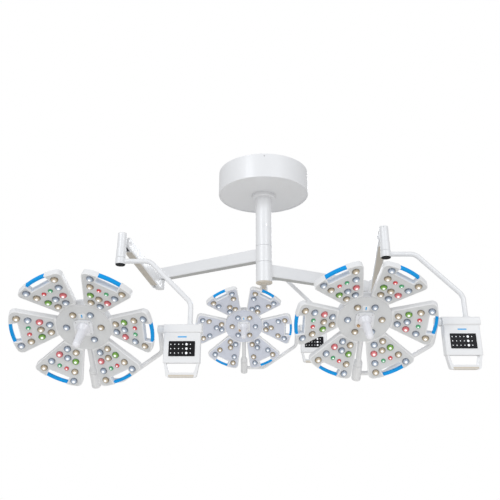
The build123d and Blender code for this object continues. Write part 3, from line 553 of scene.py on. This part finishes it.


# In each pair the second colour is the painted shade at the lens's rim.
LENS_FINISH = {
    "cool": lens_finish("cool_lens", (0.44, 0.52, 0.64), (0.10, 0.12, 0.16)),
    "warm": lens_finish("warm_lens", (0.60, 0.50, 0.36), (0.17, 0.13, 0.08)),
    "green": lens_finish("green_lens", (0.20, 0.46, 0.04), (0.05, 0.15, 0.01)),
    "red": lens_finish("red_lens", (0.80, 0.20, 0.22), (0.42, 0.05, 0.06)),
    "small_red": lens_finish("small_red_lens", (0.78, 0.05, 0.06), (0.50, 0.02, 0.03)),
    "small_green": lens_finish("small_green_lens", (0.06, 0.52, 0.20), (0.02, 0.22, 0.07)),
}
print("lens finishes:", sorted(LENS_FINISH))

# %% [markdown]
# The colours are laid out by rule. On each petal a lens has a distance from the lamp's axis and
# an offset from the petal's middle. The one in the middle takes turns between cool and warm
# round the lamp, as the six on the hub do.

# %% Where each lens sits
HUB_RADIUS = 136
HUB_RING = 86
SLOPE = radians(14)
PETALS = 6
LARGE_PETAL = (
    (312, 81, "cool"), (263, 64, "warm"), (210, 44, "green"), (164, 25, "warm"), (164, -22, "cool"),
    (207, -45, "red"), (257, -64, "cool"), (305, -83, "warm"),
)
LARGE_PETAL_SMALL = ((263, 19, "small_red"), (262, -19, "small_green"))
SMALL_PETAL = (
    (300, 77, "warm"), (254, 62, "cool"), (165, 23, "cool"), (300, -77, "cool"), (254, -62, "warm"),
    (165, -23, "warm"),
)
SMALL_MIDDLE, LARGE_MIDDLE = 203, 208


def on_petal(arm, petal, radius, offset):
    """A place on a petal's face and the way it faces, in the lamp's frame."""
    k = arm.head
    angle = petal * 2 * pi / PETALS
    out = Vector((cos(angle), sin(angle), 0))
    side = Vector((-sin(angle), cos(angle), 0))
    along = out * cos(SLOPE) + Z * sin(SLOPE)
    reach = (radius - HUB_RADIUS) / cos(SLOPE)
    return (out * HUB_RADIUS + along * reach + side * offset) * k, along.cross(side)


def lens_places(arm):
    """Lens colour to places, for one lamp."""
    small = arm.name == "small"
    found = {colour: [] for colour in LENS_FINISH}
    middle = ("warm", "cool") if small else ("cool", "warm")
    for petal in range(PETALS):
        rows = SMALL_PETAL if small else LARGE_PETAL + LARGE_PETAL_SMALL
        rows += ((SMALL_MIDDLE if small else LARGE_MIDDLE, 0, middle[petal % 2]),)
        for radius, offset, colour in rows:
            found[colour].append(on_petal(arm, petal, radius, offset))
        angle = petal * 2 * pi / PETALS
        on_hub = Vector((cos(angle), sin(angle), 0)) * HUB_RING * arm.head + Z
        found[middle[(petal + 1) % 2]].append((on_hub, Z))
    return {colour: places for colour, places in found.items() if places}


print("lenses on a large petal:", len(LARGE_PETAL) + len(LARGE_PETAL_SMALL) + 1)

# %% [markdown]
# The CAD part below each lens is its plain round body. The faceted top is a little narrower, so
# the body's rim shows round it as the lens holder does. All lenses of one colour on a lamp are
# one piece, because they ride together.

# %% Grow the lenses
LENS_FACETS = 14
MARKER_RADIUS = 12.5
HOLDER_RIM = 0.8

for arm in ARMS:
    for colour, places in lens_places(arm).items():
        radius = MARKER_RADIUS if colour.startswith("small_") else arm.lens_radius
        mesh = grown(lens_tree, places, radius=(radius - HOLDER_RIM) * MM, facets=LENS_FACETS,
                     material=LENS_FINISH[colour].material)
        settle(f"{arm.name}_{colour}_lenses", mesh, None, f"{arm.name}_lamp",
               front_frame(arm))
    print(arm.name, {colour: len(places) for colour, places in lens_places(arm).items()})

# %% [markdown]
# Screws hold the trim. A screw's head is a short cylinder with a driver recess: the top face is
# narrowed without being raised, then pushed down. Pivot caps and service plugs are the same
# thing at another size, so the one tree serves for all of them.

# %% The screw tree
EDGE_SHARE, EDGE_NARROWING, RECESS_SHARE = 0.08, 0.9, 0.55

screw_tree = Tree("recessed_head", radius=LENGTH, height=LENGTH, recess=LENGTH, sides=WHOLE,
                  material=PAINT)
head = screw_tree.node("GeometryNodeMeshCylinder", {}, {
    "Vertices": screw_tree.inputs["Sides"], "Radius": screw_tree.inputs["Radius"],
    "Depth": screw_tree.math("MULTIPLY", screw_tree.inputs["Height"], 2.0)})
rim = screw_tree.node("GeometryNodeExtrudeMesh", {"mode": "FACES"}, {
    "Mesh": head[0], "Selection": head[1],
    "Offset Scale": screw_tree.math("MULTIPLY", screw_tree.inputs["Radius"], EDGE_SHARE)})
rounded = screw_tree.node("GeometryNodeScaleElements", {"domain": "FACE"}, {
    "Geometry": rim[0], "Selection": rim[1], "Scale": EDGE_NARROWING})[0]
mouth = screw_tree.node("GeometryNodeExtrudeMesh", {"mode": "FACES"}, {
    "Mesh": rounded, "Selection": rim[1], "Offset Scale": 0.0})
narrowed = screw_tree.node("GeometryNodeScaleElements", {"domain": "FACE"}, {
    "Geometry": mouth[0], "Selection": mouth[1], "Scale": RECESS_SHARE})[0]
sunk = screw_tree.node("GeometryNodeExtrudeMesh", {"mode": "FACES"}, {
    "Mesh": narrowed, "Selection": mouth[1],
    "Offset Scale": screw_tree.math("MULTIPLY", screw_tree.inputs["Recess"], -1.0)})[0]
screw_tree.copies(sunk)


def screws(name, places, place, body, finish, radius, height, recess, sides=20):
    """Recessed heads at (position, facing) places of a local frame."""
    mesh = grown(screw_tree, places, radius=radius * MM, height=height * MM, recess=recess * MM,
                 sides=sides, material=finish.material)
    return settle(name, mesh, None, body, place)


print("screw tree is ready")

# %% [markdown]
# The column is plain, so its few marks matter: the grub screws that lock the topmost sleeve,
# the screws that hold the canopy up, and the plug in the end cap. A screw on a round wall faces
# straight out from the axis.

# %% Column and canopy trim
COLUMN_RADIUS = 46.5
CANOPY_RADIUS = 265
CANOPY_BOTTOM, SLEEVE_TOP, COLUMN_END = -141, -350, -679
CANOPY_SCREW_LEVEL, SLEEVE_SCREW_LEVEL = -14, -440


def round_the_axis(radius, level, count, first):
    """Places on an upright cylinder, facing outwards. Angles are in degrees."""
    turns = [radians(first + 360 * k / count) for k in range(count)]
    ways = [Vector((cos(turn), sin(turn), 0)) for turn in turns]
    return [(way * radius + Z * level, way) for way in ways]


ceiling = Matrix.Identity(4)
screws("canopy_screws", round_the_axis(CANOPY_RADIUS - 0.6, CANOPY_SCREW_LEVEL, 3, 30), ceiling,
       "column", steel, radius=4, height=1, recess=1.2)
screws("sleeve_screws", round_the_axis(COLUMN_RADIUS - 0.5, SLEEVE_SCREW_LEVEL, 3, -76), ceiling,
       "small_extension", steel, radius=3.4, height=0.6, recess=1.4, sides=6)
settle("canopy_floor_ring", turned([
    (72, CANOPY_BOTTOM + 4.6), (72, CANOPY_BOTTOM + 3.2), (74, CANOPY_BOTTOM + 2.6),
    (77, CANOPY_BOTTOM + 2.6), (79, CANOPY_BOTTOM + 3.2), (79, CANOPY_BOTTOM + 4.6),
    (72, CANOPY_BOTTOM + 4.6)]), enamel, "column")
settle("sleeve_gap_ring", turned([
    (44, SLEEVE_TOP - 0.7), (46.1, SLEEVE_TOP - 0.7), (46.3, SLEEVE_TOP), (46.1, SLEEVE_TOP + 0.7),
    (44, SLEEVE_TOP + 0.7), (44, SLEEVE_TOP - 0.7)]), enamel, "column")
settle("end_cap_plug", turned([
    (0, COLUMN_END + 1), (0, COLUMN_END - 2.2), (13, COLUMN_END - 2.2), (15, COLUMN_END - 1.4),
    (15.6, COLUMN_END), (30, COLUMN_END - 0.2), (31.5, COLUMN_END - 1.2), (34, COLUMN_END - 1.2),
    (35.5, COLUMN_END), (35.5, COLUMN_END + 1), (0, COLUMN_END + 1)]), cream, "column")
print("column trim is in place")

# %% [markdown]
# An arm is a painted box section. On its underside lies a long rounded plate, slightly narrower
# than the arm, whose grey on the beam and beige on the spring arm are painted shade. The elbow has
# a flat cap over its pin, and each pivot has a cap on both cheeks.


# %% Arm trim
SHADE_SHEET_STARTS, SHADE_SHEET_ENDS = 3, 35
BEAM_MARGIN, SPRING_MARGIN, SPRING_END_MARGIN = 13, 12.5, 14
ELBOW_CAP = [(0, -1), (0, 3.4), (15, 3.2), (19.5, 2.2), (21, 0.8), (21, -1), (0, -1)]


def dress_arm(arm):
    elbow = joint_place(f"{arm.name}_elbow_swing")
    out = Vector((elbow.x, elbow.y, 0)).normalized()
    reach = Vector((elbow.x, elbow.y, 0)).length / MM
    beam_bottom = Vector((0, 0, elbow.z + arm.beam_drop * MM))
    body = f"{arm.name}_extension"
    start, end = COLUMN_RADIUS + SHADE_SHEET_STARTS, reach - SHADE_SHEET_ENDS
    below = shifted(frame_at(beam_bottom, out, -Z), x=(start + end) / 2)
    # The grey sheet under the beam is painted shade.
    shade_sheet = plate(end - start, arm.beam_width - BEAM_MARGIN, 1.6, 3, 0.8)
    settle(f"{arm.name}_extension_liner", shade_sheet, painted_shade_grey, body, below)
    above = frame_at(elbow + Z * (arm.beam_drop + arm.beam_height) * MM, out, Z)
    settle(f"{arm.name}_elbow_cap", turned(ELBOW_CAP), moulding, body, above)

    lift, level = joint_place(f"{arm.name}_arm_lift"), joint_place(f"{arm.name}_hub_level")
    along = (level - lift).normalized()
    side = joint_axis(f"{arm.name}_arm_lift")
    down = along.cross(side)
    down = down if down.z < 0 else -down
    body = f"{arm.name}_balance_arm"
    span = (level - lift).length / MM
    under = shifted(frame_at(lift, along, down), x=span / 2, z=arm.spring_height / 2)
    # The beige sheet under the spring arm is painted shade.
    shade_sheet = plate(span - arm.spring_height - SPRING_END_MARGIN, arm.spring_width - SPRING_MARGIN,
                  1.8, 9, 0.9)
    settle(f"{arm.name}_spring_liner", shade_sheet, painted_shade_beige, body, under)
    places = [(point * span * X + sign * Y * (arm.spring_width / 2 - 0.4), sign * Y)
              for point in (0, 1) for sign in (1, -1)]
    screws(f"{arm.name}_pivot_caps", places, frame_at(lift, along, down), body, moulding,
           radius=12, height=1.6, recess=0.8, sides=28)


for arm in ARMS:
    dress_arm(arm)
print("arm trim:", [arm.name for arm in ARMS])

# %% [markdown]
# At the arm's end an upright hub carries the lamp. Two grub screws set the brake of its swing,
# one in front and one behind, and a proud ring marks the swivel that turns below it. Both scale
# with the control box, so they are written once at full size.

# %% Hub and swivel trim
HUB_WALL, HUB_SCREW_LEVEL = 24, 28
HUB_FRONT = Vector((-0.25, -1, 0)).normalized()
SWIVEL_RING = [(27, -129), (27.7, -128.4), (27.7, -125.6), (27, -125), (25, -125), (25, -129),
               (27, -129)]


def scaled(profile, factor):
    return [(radius * factor, level * factor) for radius, level in profile]


def dress_hub(arm):
    hub = frame_at(joint_place(f"{arm.name}_lamp_swing"), X, Z)
    b = arm.box
    places = [(way * (HUB_WALL * b - 0.5) + Z * HUB_SCREW_LEVEL * b, way)
              for way in (HUB_FRONT, -HUB_FRONT)]
    screws(f"{arm.name}_hub_screws", places, hub, f"{arm.name}_hub", steel,
           radius=3, height=0.7, recess=1.2, sides=6)
    settle(f"{arm.name}_swivel_ring", turned(scaled(SWIVEL_RING, b)), moulding,
           f"{arm.name}_suspension", hub)


for arm in ARMS:
    dress_hub(arm)
print("hub trim is in place")

# %% [markdown]
# The control box carries a membrane keypad. Its icons sit in a regular grid, so a tree makes
# them: a grid of points, a raised dot on each, and one column with larger dots for the main
# switches. They are plain dots and bars, with no lettering.

# %% The keypad tree
ICON_THICKNESS = 0.5
BIG_ICON, PLAIN_ICON = 1.5, 0.62

keypad_tree = Tree("keypad_icons", columns=WHOLE, rows=WHOLE, pitch=LENGTH, row_pitch=LENGTH,
                   dot=LENGTH, big_column=LENGTH, material=PAINT)
columns, rows = keypad_tree.inputs["Columns"], keypad_tree.inputs["Rows"]
wide = keypad_tree.math("MULTIPLY", keypad_tree.inputs["Pitch"],
                        keypad_tree.math("SUBTRACT", columns, 1.0))
tall = keypad_tree.math("MULTIPLY", keypad_tree.inputs["Row Pitch"],
                        keypad_tree.math("SUBTRACT", rows, 1.0))
grid = keypad_tree.node("GeometryNodeMeshGrid", {}, {
    "Size X": wide, "Size Y": tall, "Vertices X": columns, "Vertices Y": rows})[0]
across = keypad_tree.node("ShaderNodeSeparateXYZ", {}, {
    "Vector": keypad_tree.node("GeometryNodeInputPosition")[0]})[0]
from_middle = keypad_tree.math("DIVIDE", across, keypad_tree.inputs["Pitch"])
half = keypad_tree.math("DIVIDE", keypad_tree.math("SUBTRACT", columns, 1.0), 2.0)
column = keypad_tree.math("ADD", from_middle, half)
from_big = keypad_tree.math("SUBTRACT", column, keypad_tree.inputs["Big Column"])
shrunk = keypad_tree.math("SUBTRACT", BIG_ICON, keypad_tree.math("ABSOLUTE", from_big))
size = keypad_tree.math("MAXIMUM", shrunk, PLAIN_ICON)
dot_mesh = keypad_tree.node("GeometryNodeMeshCylinder", {}, {
    "Vertices": 16, "Radius": keypad_tree.inputs["Dot"], "Depth": ICON_THICKNESS * MM})[0]
icons = keypad_tree.node("GeometryNodeInstanceOnPoints", {}, {
    "Points": grid, "Instance": dot_mesh, "Scale": size})[0]
keypad_tree.close(icons)
print("keypad icons shrink from", BIG_ICON, "to", PLAIN_ICON)

# %% [markdown]
# On the box's front a thin bezel frames the keypad, and a plain blue bar stands above it where
# such boxes carry a badge. Every place is counted down from the header's middle, which is on
# the lamp's tilt axis, so the joint alone says where the box is.

# %% Control box fronts
HEADER = (250, 440)
HEADER_HEIGHT, HEADER_DEPTH = 43, 58
PANEL_DEPTH = 46
KEYPAD_DROP, KEYPAD, BEZEL_MARGIN = 101, (131, 75), 9
ICON_PITCH, ICON_ROW_PITCH, ICON_RADIUS, ICON_SHIFT, ICON_LEVEL = 19.5, 21.5, 3.9, -6, 2.15
MARK, MARK_DROP = (46, 6.5), 42


def box_middle(arm):
    """The middle of the box's header, on the tilt axis."""
    tilt = joint_place(f"{arm.name}_lamp_tilt")
    hub_x = joint_place(f"{arm.name}_lamp_swing").x
    return Vector((hub_x + sum(HEADER) / 2 * arm.box * MM, tilt.y, tilt.z))


def dress_box_front(arm):
    b, body = arm.box, f"{arm.name}_suspension"
    front = shifted(frame_at(box_middle(arm), X, -Y), z=PANEL_DEPTH / 2 * b)
    width, height = [(side + BEZEL_MARGIN) * b for side in KEYPAD]
    settle(f"{arm.name}_keypad_bezel", plate(width, height, 0.9, 5 * b, 0.5), moulding, body,
           shifted(front, y=-KEYPAD_DROP * b))
    icons = grown(keypad_tree, [(Vector((0, 0, 0)), Z)], columns=6, rows=3,
                  pitch=ICON_PITCH * b * MM, row_pitch=ICON_ROW_PITCH * b * MM,
                  dot=ICON_RADIUS * b * MM, big_column=4.0, material=icon_ink.material)
    settle(f"{arm.name}_keypad_icons", icons, None, body,
           shifted(front, x=ICON_SHIFT * b, y=-KEYPAD_DROP * b, z=ICON_LEVEL))
    settle(f"{arm.name}_box_mark", plate(MARK[0] * b, MARK[1] * b, 0.4, 3 * b, 0.1), mark_ink, body,
           shifted(front, y=-MARK_DROP * b))


print("box headers sit", HEADER[0], "to", HEADER[1], "mm from the hub, at full size")

# %% [markdown]
# Behind, a service panel is held by four screws, and the header's open end has a screwed cover.
# The bent tube enters the header through a moulded socket. Under the loop handle and along its
# front lie cream strips of painted shade, on the faces of the bar that fall in shade.

# %% Control box backs and handles
PANEL_HEIGHT, LOOP_HEIGHT, LOOP_DEPTH = 148, 69, 34
END_MARGIN, END_SCREWS = 4, (-18, 18)
BACK_PANEL, BACK_PANEL_DROP = (176, 134), 95
BACK_SCREW_SIDES, BACK_SCREW_DROPS = (-82, 82), (34, 156)
TUBE_REACH = 380
SOCKET_BORE, SOCKET_RADIUS = 12.5, 20
# The loop's two cream strips are painted shade.
LOOP_SHADE_STRIP, LOOP_FRONT_SHADE_STRIP, FRONT_SHADE_STRIP_RISE = (118, 24), (126, 9), 6.5


def dress_box_back(arm):
    b, body = arm.box, f"{arm.name}_suspension"
    middle = box_middle(arm)
    end = shifted(frame_at(middle, Y, X), z=(HEADER[1] - HEADER[0]) / 2 * b)
    cover = plate((HEADER_DEPTH - END_MARGIN) * b, (HEADER_HEIGHT - END_MARGIN) * b, 2.6, 8 * b, 1)
    settle(f"{arm.name}_header_end", cover, moulding, body, end)
    screws(f"{arm.name}_header_screws", [(Vector((x * b, 0, 2.4)), Z) for x in END_SCREWS], end,
           body, steel, radius=2.8, height=0.5, recess=1)
    back = shifted(frame_at(middle, -X, Y), z=PANEL_DEPTH / 2 * b)
    corners = [(Vector((x * b, -drop * b, 0)), Z)
               for x in BACK_SCREW_SIDES for drop in BACK_SCREW_DROPS]
    screws(f"{arm.name}_back_screws", corners, back, body, steel,
           radius=3, height=1, recess=1)
    panel = plate(BACK_PANEL[0] * b, BACK_PANEL[1] * b, 0.8, 8 * b, 0.4)
    settle(f"{arm.name}_back_panel", panel, moulding, body,
           shifted(back, y=-BACK_PANEL_DROP * b))


def dress_box_socket(arm):
    b, header_top = arm.box, HEADER_HEIGHT / 2 * arm.box
    tilt = joint_place(f"{arm.name}_lamp_tilt")
    hub_x = joint_place(f"{arm.name}_lamp_swing").x
    bore, outside = SOCKET_BORE * b, SOCKET_RADIUS * b
    socket = turned([
        (bore, header_top - 1), (outside, header_top - 1), (outside, header_top + 3 * b),
        (outside - 2 * b, header_top + 5 * b), (bore + 1.5 * b, header_top + 6 * b),
        (bore, header_top + 6 * b), (bore, header_top - 1)])
    settle(f"{arm.name}_tube_socket", socket, moulding, f"{arm.name}_suspension",
           frame_at(Vector((hub_x + TUBE_REACH * b * MM, tilt.y, tilt.z)), X, Z))


def dress_box_loop(arm):
    b, body = arm.box, f"{arm.name}_suspension"
    middle = box_middle(arm)
    drop = (HEADER_HEIGHT / 2 + PANEL_HEIGHT + LOOP_HEIGHT) * b
    # Cream strips of painted shade: one under the loop's bar, one along its front.
    settle(f"{arm.name}_loop_pad", plate(LOOP_SHADE_STRIP[0] * b, LOOP_SHADE_STRIP[1] * b, 1.4, 8 * b, 0.7), cream,
           body, shifted(frame_at(middle, X, -Z), z=drop))
    front_shade_strip = plate(LOOP_FRONT_SHADE_STRIP[0] * b, LOOP_FRONT_SHADE_STRIP[1] * b, 1.2, 3 * b, 0.6)
    settle(f"{arm.name}_loop_front_pad", front_shade_strip, cream, body,
           shifted(frame_at(middle, X, -Y), y=FRONT_SHADE_STRIP_RISE * b - drop, z=LOOP_DEPTH / 2 * b))


for arm in ARMS:
    for dress_side in (dress_box_front, dress_box_back, dress_box_socket, dress_box_loop):
        dress_side(arm)
print("control boxes are dressed:", len(ARMS))

# %% [markdown]
# Yoke and stem: a bent tube runs round the lamp from the tilt block to the joint below it. A
# thin ring marks where each moving part meets the next, as a dust seal does.


# %% Yoke trim
TILT_BLOCK, TILT_GAP = 31, 0.75
TILT_CAP_RADII = (13, 17, 18.2)
STEM_JOINT_ENDS = (403, 323)
STEM_RADIUS = 23.5


def dress_yoke(arm):
    b, body = arm.box, f"{arm.name}_yoke"
    tilt = joint_place(f"{arm.name}_lamp_tilt")
    hub_x = joint_place(f"{arm.name}_lamp_swing").x
    block_end = Vector((hub_x + ((HEADER[0] - TILT_BLOCK) * b - TILT_GAP) * MM, tilt.y, tilt.z))
    crown, shoulder, rim = [radius * b for radius in TILT_CAP_RADII]
    cap = turned([(0, -1), (0, 2.4), (crown, 2.2), (shoulder, 1.4), (rim, 0.4), (rim, -1), (0, -1)])
    settle(f"{arm.name}_tilt_cap", cap, moulding, body, frame_at(block_end, Y, -X))
    stem = frame_at(joint_place(f"{arm.name}_head_turn"), X, joint_axis(f"{arm.name}_head_turn"))
    inner, outer = STEM_RADIUS * b, (STEM_RADIUS + 1) * b
    for drop in STEM_JOINT_ENDS:
        level = -drop * b
        ring = turned([(inner, level - 1.4), (outer, level - 0.9), (outer, level + 0.9),
                       (inner, level + 1.4), (inner, level - 1.4)])
        settle(f"{arm.name}_stem_ring_{drop}", ring, moulding, body, stem)


for arm in ARMS:
    dress_yoke(arm)
print("yoke trim is in place")

# %% [markdown]
# The lamp's centre holds a white square plate with four screws, a brass release button for the
# sterile handle, and a small blank plate above it. A thin seal ring covers the joint between the
# hub and the petals.


# %% Lamp fronts
PLATE_SCREW_SIDES, PLATE_TOP = (-34, 34), 7.9
BUTTON = [(0, 7), (0, 19), (4.5, 18.6), (6, 17), (6, 13), (8.5, 11), (9, 8.6), (9, 7), (0, 7)]
BUTTON_PLACE = -30
BLANK_PLATE, BLANK_PLATE_THICKNESS, BLANK_PLATE_RISE = (34, 32), 1.6, 68
LAMP_MARK, LAMP_MARK_RISE = (6, 20), 69
SEAL_STEPS = 96


def dress_lamp_front(arm):
    k, body, front = arm.head, f"{arm.name}_lamp", front_frame(arm)
    corners = [(Vector((x, y, PLATE_TOP)) * k, Z)
               for x in PLATE_SCREW_SIDES for y in PLATE_SCREW_SIDES]
    screws(f"{arm.name}_plate_screws", corners, front, body, steel,
           radius=4 * k, height=0.6, recess=1.2)
    settle(f"{arm.name}_release_button", turned(scaled(BUTTON, k)), brass, body,
           shifted(front, x=BUTTON_PLACE * k, y=BUTTON_PLACE * k))
    blank = plate(BLANK_PLATE[0] * k, BLANK_PLATE[1] * k, BLANK_PLATE_THICKNESS, 5 * k, 0.7)
    settle(f"{arm.name}_blank_plate", blank, moulding, body,
           shifted(front, y=BLANK_PLATE_RISE * k))
    mark = plate(LAMP_MARK[0] * k, LAMP_MARK[1] * k, 0.4, 2.8 * k, 0.1)
    settle(f"{arm.name}_lamp_mark", mark, mark_ink, body,
           shifted(front, y=LAMP_MARK_RISE * k, z=BLANK_PLATE_THICKNESS))
    inner, outer = HUB_RADIUS * k - 1.6, HUB_RADIUS * k + 1.2
    seal = turned([(inner, 0), (inner + 0.4, 0.7), (outer - 0.8, 0.9), (outer, 0.5), (outer, -1.5),
                   (inner, -1.5), (inner, 0)], SEAL_STEPS)
    settle(f"{arm.name}_hub_seal", seal, cover_finish[arm.name], body, front)


for arm in ARMS:
    dress_lamp_front(arm)
print("lamp fronts are dressed")

# %% [markdown]
# The back of a lamp is seen as often as its front. Cooling slots stand in a ring on the hub's
# back, and each petal's back has four screws. Slots are raised ribs here, grown by a tree from
# an angle step, so their number is one input.

# %% The rib tree
rib_tree = Tree("ring_of_ribs", count=WHOLE, radius=LENGTH, length=LENGTH, width=LENGTH,
                height=LENGTH, material=PAINT)
circle = rib_tree.node("GeometryNodeCurvePrimitiveCircle", {"mode": "RADIUS"}, {
    "Resolution": rib_tree.inputs["Count"], "Radius": rib_tree.inputs["Radius"]})[0]
outward = rib_tree.node("FunctionNodeAlignRotationToVector", {"axis": "X"}, {
    "Vector": rib_tree.node("GeometryNodeInputPosition")[0]})[0]
size = rib_tree.node("ShaderNodeCombineXYZ", {}, {
    "X": rib_tree.inputs["Length"], "Y": rib_tree.inputs["Width"], "Z": rib_tree.inputs["Height"]})[0]
rib = rib_tree.node("GeometryNodeMeshCube", {}, {"Size": size})[0]
ribs = rib_tree.node("GeometryNodeInstanceOnPoints", {}, {
    "Points": circle, "Instance": rib, "Rotation": outward})[0]
rib_tree.close(ribs)
print("rib tree is ready")

# %% [markdown]
# The ribs need a ring radius that leaves room for the low round cover in the middle, so both are
# set here together. A petal's screws sit on its sloping back, so they take their places from the
# same rule as the lenses, pushed through by the petal's depth.

# %% Lamp backs
HUB_DEPTH, PETAL_DEPTH = 70, 36
RIB_COUNT, RIB_RING, RIB_LENGTH, RIB_WIDTH, RIB_HEIGHT = 36, 84, 26, 4.5, 3
BACK_COVER = [(0, 6), (42, 5.4), (54, 3.4), (58, 0)]
PETAL_SCREWS = ((170, 0), (235, 52), (235, -52), (288, 0))


def dress_lamp_back(arm):
    k, body, front = arm.head, f"{arm.name}_lamp", front_frame(arm)
    back_level = -HUB_DEPTH * k
    ribs = grown(rib_tree, [(Vector((0, 0, 0)), Z)], count=RIB_COUNT, radius=RIB_RING * k * MM,
                 length=RIB_LENGTH * k * MM, width=RIB_WIDTH * k * MM, height=RIB_HEIGHT * MM,
                 material=casing.material)
    settle(f"{arm.name}_cooling_ribs", ribs, None, body,
           shifted(front, z=back_level - 0.5))
    crown = [(radius * k, back_level - rise * k) for radius, rise in BACK_COVER]
    foot = back_level + 1
    cover = turned([(0, foot), *crown, (crown[-1][0], foot), (0, foot)])
    settle(f"{arm.name}_back_cover", cover, moulding, body, front)
    backs = []
    for petal in range(PETALS):
        for radius, offset in PETAL_SCREWS:
            spot, way = on_petal(arm, petal, radius, offset)
            backs.append((spot - way * (PETAL_DEPTH * k - 0.4), -way))
    screws(f"{arm.name}_petal_screws", backs, front, body, steel,
           radius=3.4, height=0.8, recess=1)


for arm in ARMS:
    dress_lamp_back(arm)
print("lamp backs are dressed")

# %% [markdown]
# The sterile handle is gripped with wet gloves, so a ribbed sleeve covers it. One turned profile
# makes it: it follows the handle's taper, and a cosine raises the soft ribs along the grip.

# %% Handle sleeve
SLEEVE_START, SLEEVE_END = 36, 146
NECK_RADIUS, SLEEVE_RADII = 19, (21.5, 18.5)
RIBS, POINTS_PER_RIB, RIB_RISE = 9, 4, 0.45
NECK_LENGTH, TIP_LENGTH, TIP_STEPS = 14, 22, 8


def sleeve_profile(k):
    """Up the outside from the neck, over the rounded tip, and down the axis again."""
    wide, slim = SLEEVE_RADII
    points = [(0, SLEEVE_START), (NECK_RADIUS, SLEEVE_START), (wide, SLEEVE_START + 2)]
    grip_start, grip_end = SLEEVE_START + NECK_LENGTH, SLEEVE_END - TIP_LENGTH
    steps = RIBS * POINTS_PER_RIB
    for step in range(steps + 1):
        share = step / steps
        rise = RIB_RISE * (1 - cos(2 * pi * share * RIBS))
        level = grip_start + (grip_end - grip_start) * share
        points.append((wide + (slim - wide) * share - 0.4 + rise, level))
    for step in range(1, TIP_STEPS):
        turn = step / TIP_STEPS * pi / 2
        points.append((slim * cos(turn), SLEEVE_END - 14 + (slim - 1) * sin(turn)))
    points.append((0, SLEEVE_END - 14 + slim - 1))
    points.append((0, SLEEVE_START))
    return scaled(points, k)


for arm in ARMS:
    settle(f"{arm.name}_handle_sleeve", turned(sleeve_profile(arm.head)), handle_plastic,
           f"{arm.name}_focus_handle", front_frame(arm))
print("handle sleeves:", len(ARMS), "with", RIBS, "ribs each")

# %% [markdown]
# The light hangs in a plain bright studio. Two wide soft lights stand in front and above, so
# surfaces that face the viewer are nearly white, and those that face down keep a soft grey. A
# third stands behind for the backs, and a faint warm light from below stands for what a pale
# floor throws back.

# %% Floor and lights
FLOOR_LEVEL, FLOOR_RADIUS, FLOOR_THICKNESS, FLOOR_STEPS = -2.75, 3400, 20, 96

floor_mesh = turned([(0, 0), (FLOOR_RADIUS, 0), (FLOOR_RADIUS, -FLOOR_THICKNESS),
                     (0, -FLOOR_THICKNESS), (0, 0)], FLOOR_STEPS)
floor_mesh.transform(Matrix.Translation((0, 0, FLOOR_LEVEL)))
floor_finish = coated("pale_floor", (0.90, 0.89, 0.87), 0.7, 60, 0.2)
floor_mesh.materials.append(floor_finish.material)
floor = bpy.data.objects.new("floor", floor_mesh)
bpy.context.scene.collection.objects.link(floor)


def soft_light(name, place, target, size, power, colour=(1, 1, 1)):
    lamp = bpy.data.lights.new(name, "AREA")
    lamp.shape, lamp.size, lamp.energy, lamp.color = "DISK", size, power, colour
    holder = bpy.data.objects.new(name, lamp)
    holder.location = place
    holder.rotation_euler = (Vector(target) - Vector(place)).to_track_quat("-Z", "Y").to_euler()
    bpy.context.scene.collection.objects.link(holder)


CENTRE = (0, 0, -0.7)
COOL, WARM = (0.93, 0.96, 1.0), (1.0, 0.94, 0.84)
soft_light("front_left", (-2.6, -3.6, 1.0), CENTRE, 2.4, 66, COOL)
soft_light("front_right", (2.4, -3.8, 0.6), CENTRE, 2.4, 50, COOL)
soft_light("behind", (0.5, 3.6, 0.8), CENTRE, 2.6, 50, COOL)
soft_light("floor_bounce", (0, -0.5, -2.7), CENTRE, 3.0, 9, WARM)
print("lights:", len(bpy.data.lights))

# %% [markdown]
# The room itself gives an even light from all round, a little over half as bright as the white
# that the camera sees behind the object. Mixing two backgrounds by ray keeps the two apart.

# %% Room
ROOM_LIGHT = 0.56

world = bpy.data.worlds.new("studio")
world.use_nodes = True
sky = world.node_tree.nodes["Background"]
sky.inputs["Color"].default_value = (1, 1, 1, 1)
sky.inputs["Strength"].default_value = ROOM_LIGHT
shown = world.node_tree.nodes.new("ShaderNodeBackground")
shown.inputs["Color"].default_value = (1, 1, 1, 1)
seen = world.node_tree.nodes.new("ShaderNodeLightPath")
choice = world.node_tree.nodes.new("ShaderNodeMixShader")
world.node_tree.links.new(seen.outputs["Is Camera Ray"], choice.inputs["Fac"])
world.node_tree.links.new(sky.outputs[0], choice.inputs[1])
world.node_tree.links.new(shown.outputs[0], choice.inputs[2])
world.node_tree.links.new(choice.outputs[0], world.node_tree.nodes["World Output"].inputs["Surface"])
bpy.context.scene.world = world
bpy.context.scene.view_settings.view_transform = "Standard"
print("room light:", ROOM_LIGHT)

# %% [markdown]
# The viewer is about three metres in front of the column, a good metre above the floor, and
# looks up at the lamps. The lens is a little wider than normal, so the near lamps look larger
# than the one behind.

# %% Camera
EYE = (-0.080, -2.930, -1.459)
LOOK_UP = 18.5
SENSOR, FOCAL_LENGTH, CLIP_END = 36, 38.6, 60

lens = bpy.data.cameras.new("camera")
lens.sensor_width, lens.lens, lens.clip_end = SENSOR, FOCAL_LENGTH, CLIP_END
camera = bpy.data.objects.new("camera", lens)
camera.location = EYE
camera.rotation_euler = (radians(90 + LOOK_UP), 0, 0)
bpy.context.scene.collection.objects.link(camera)
bpy.context.scene.camera = camera
print("the camera looks up by", LOOK_UP, "degrees")
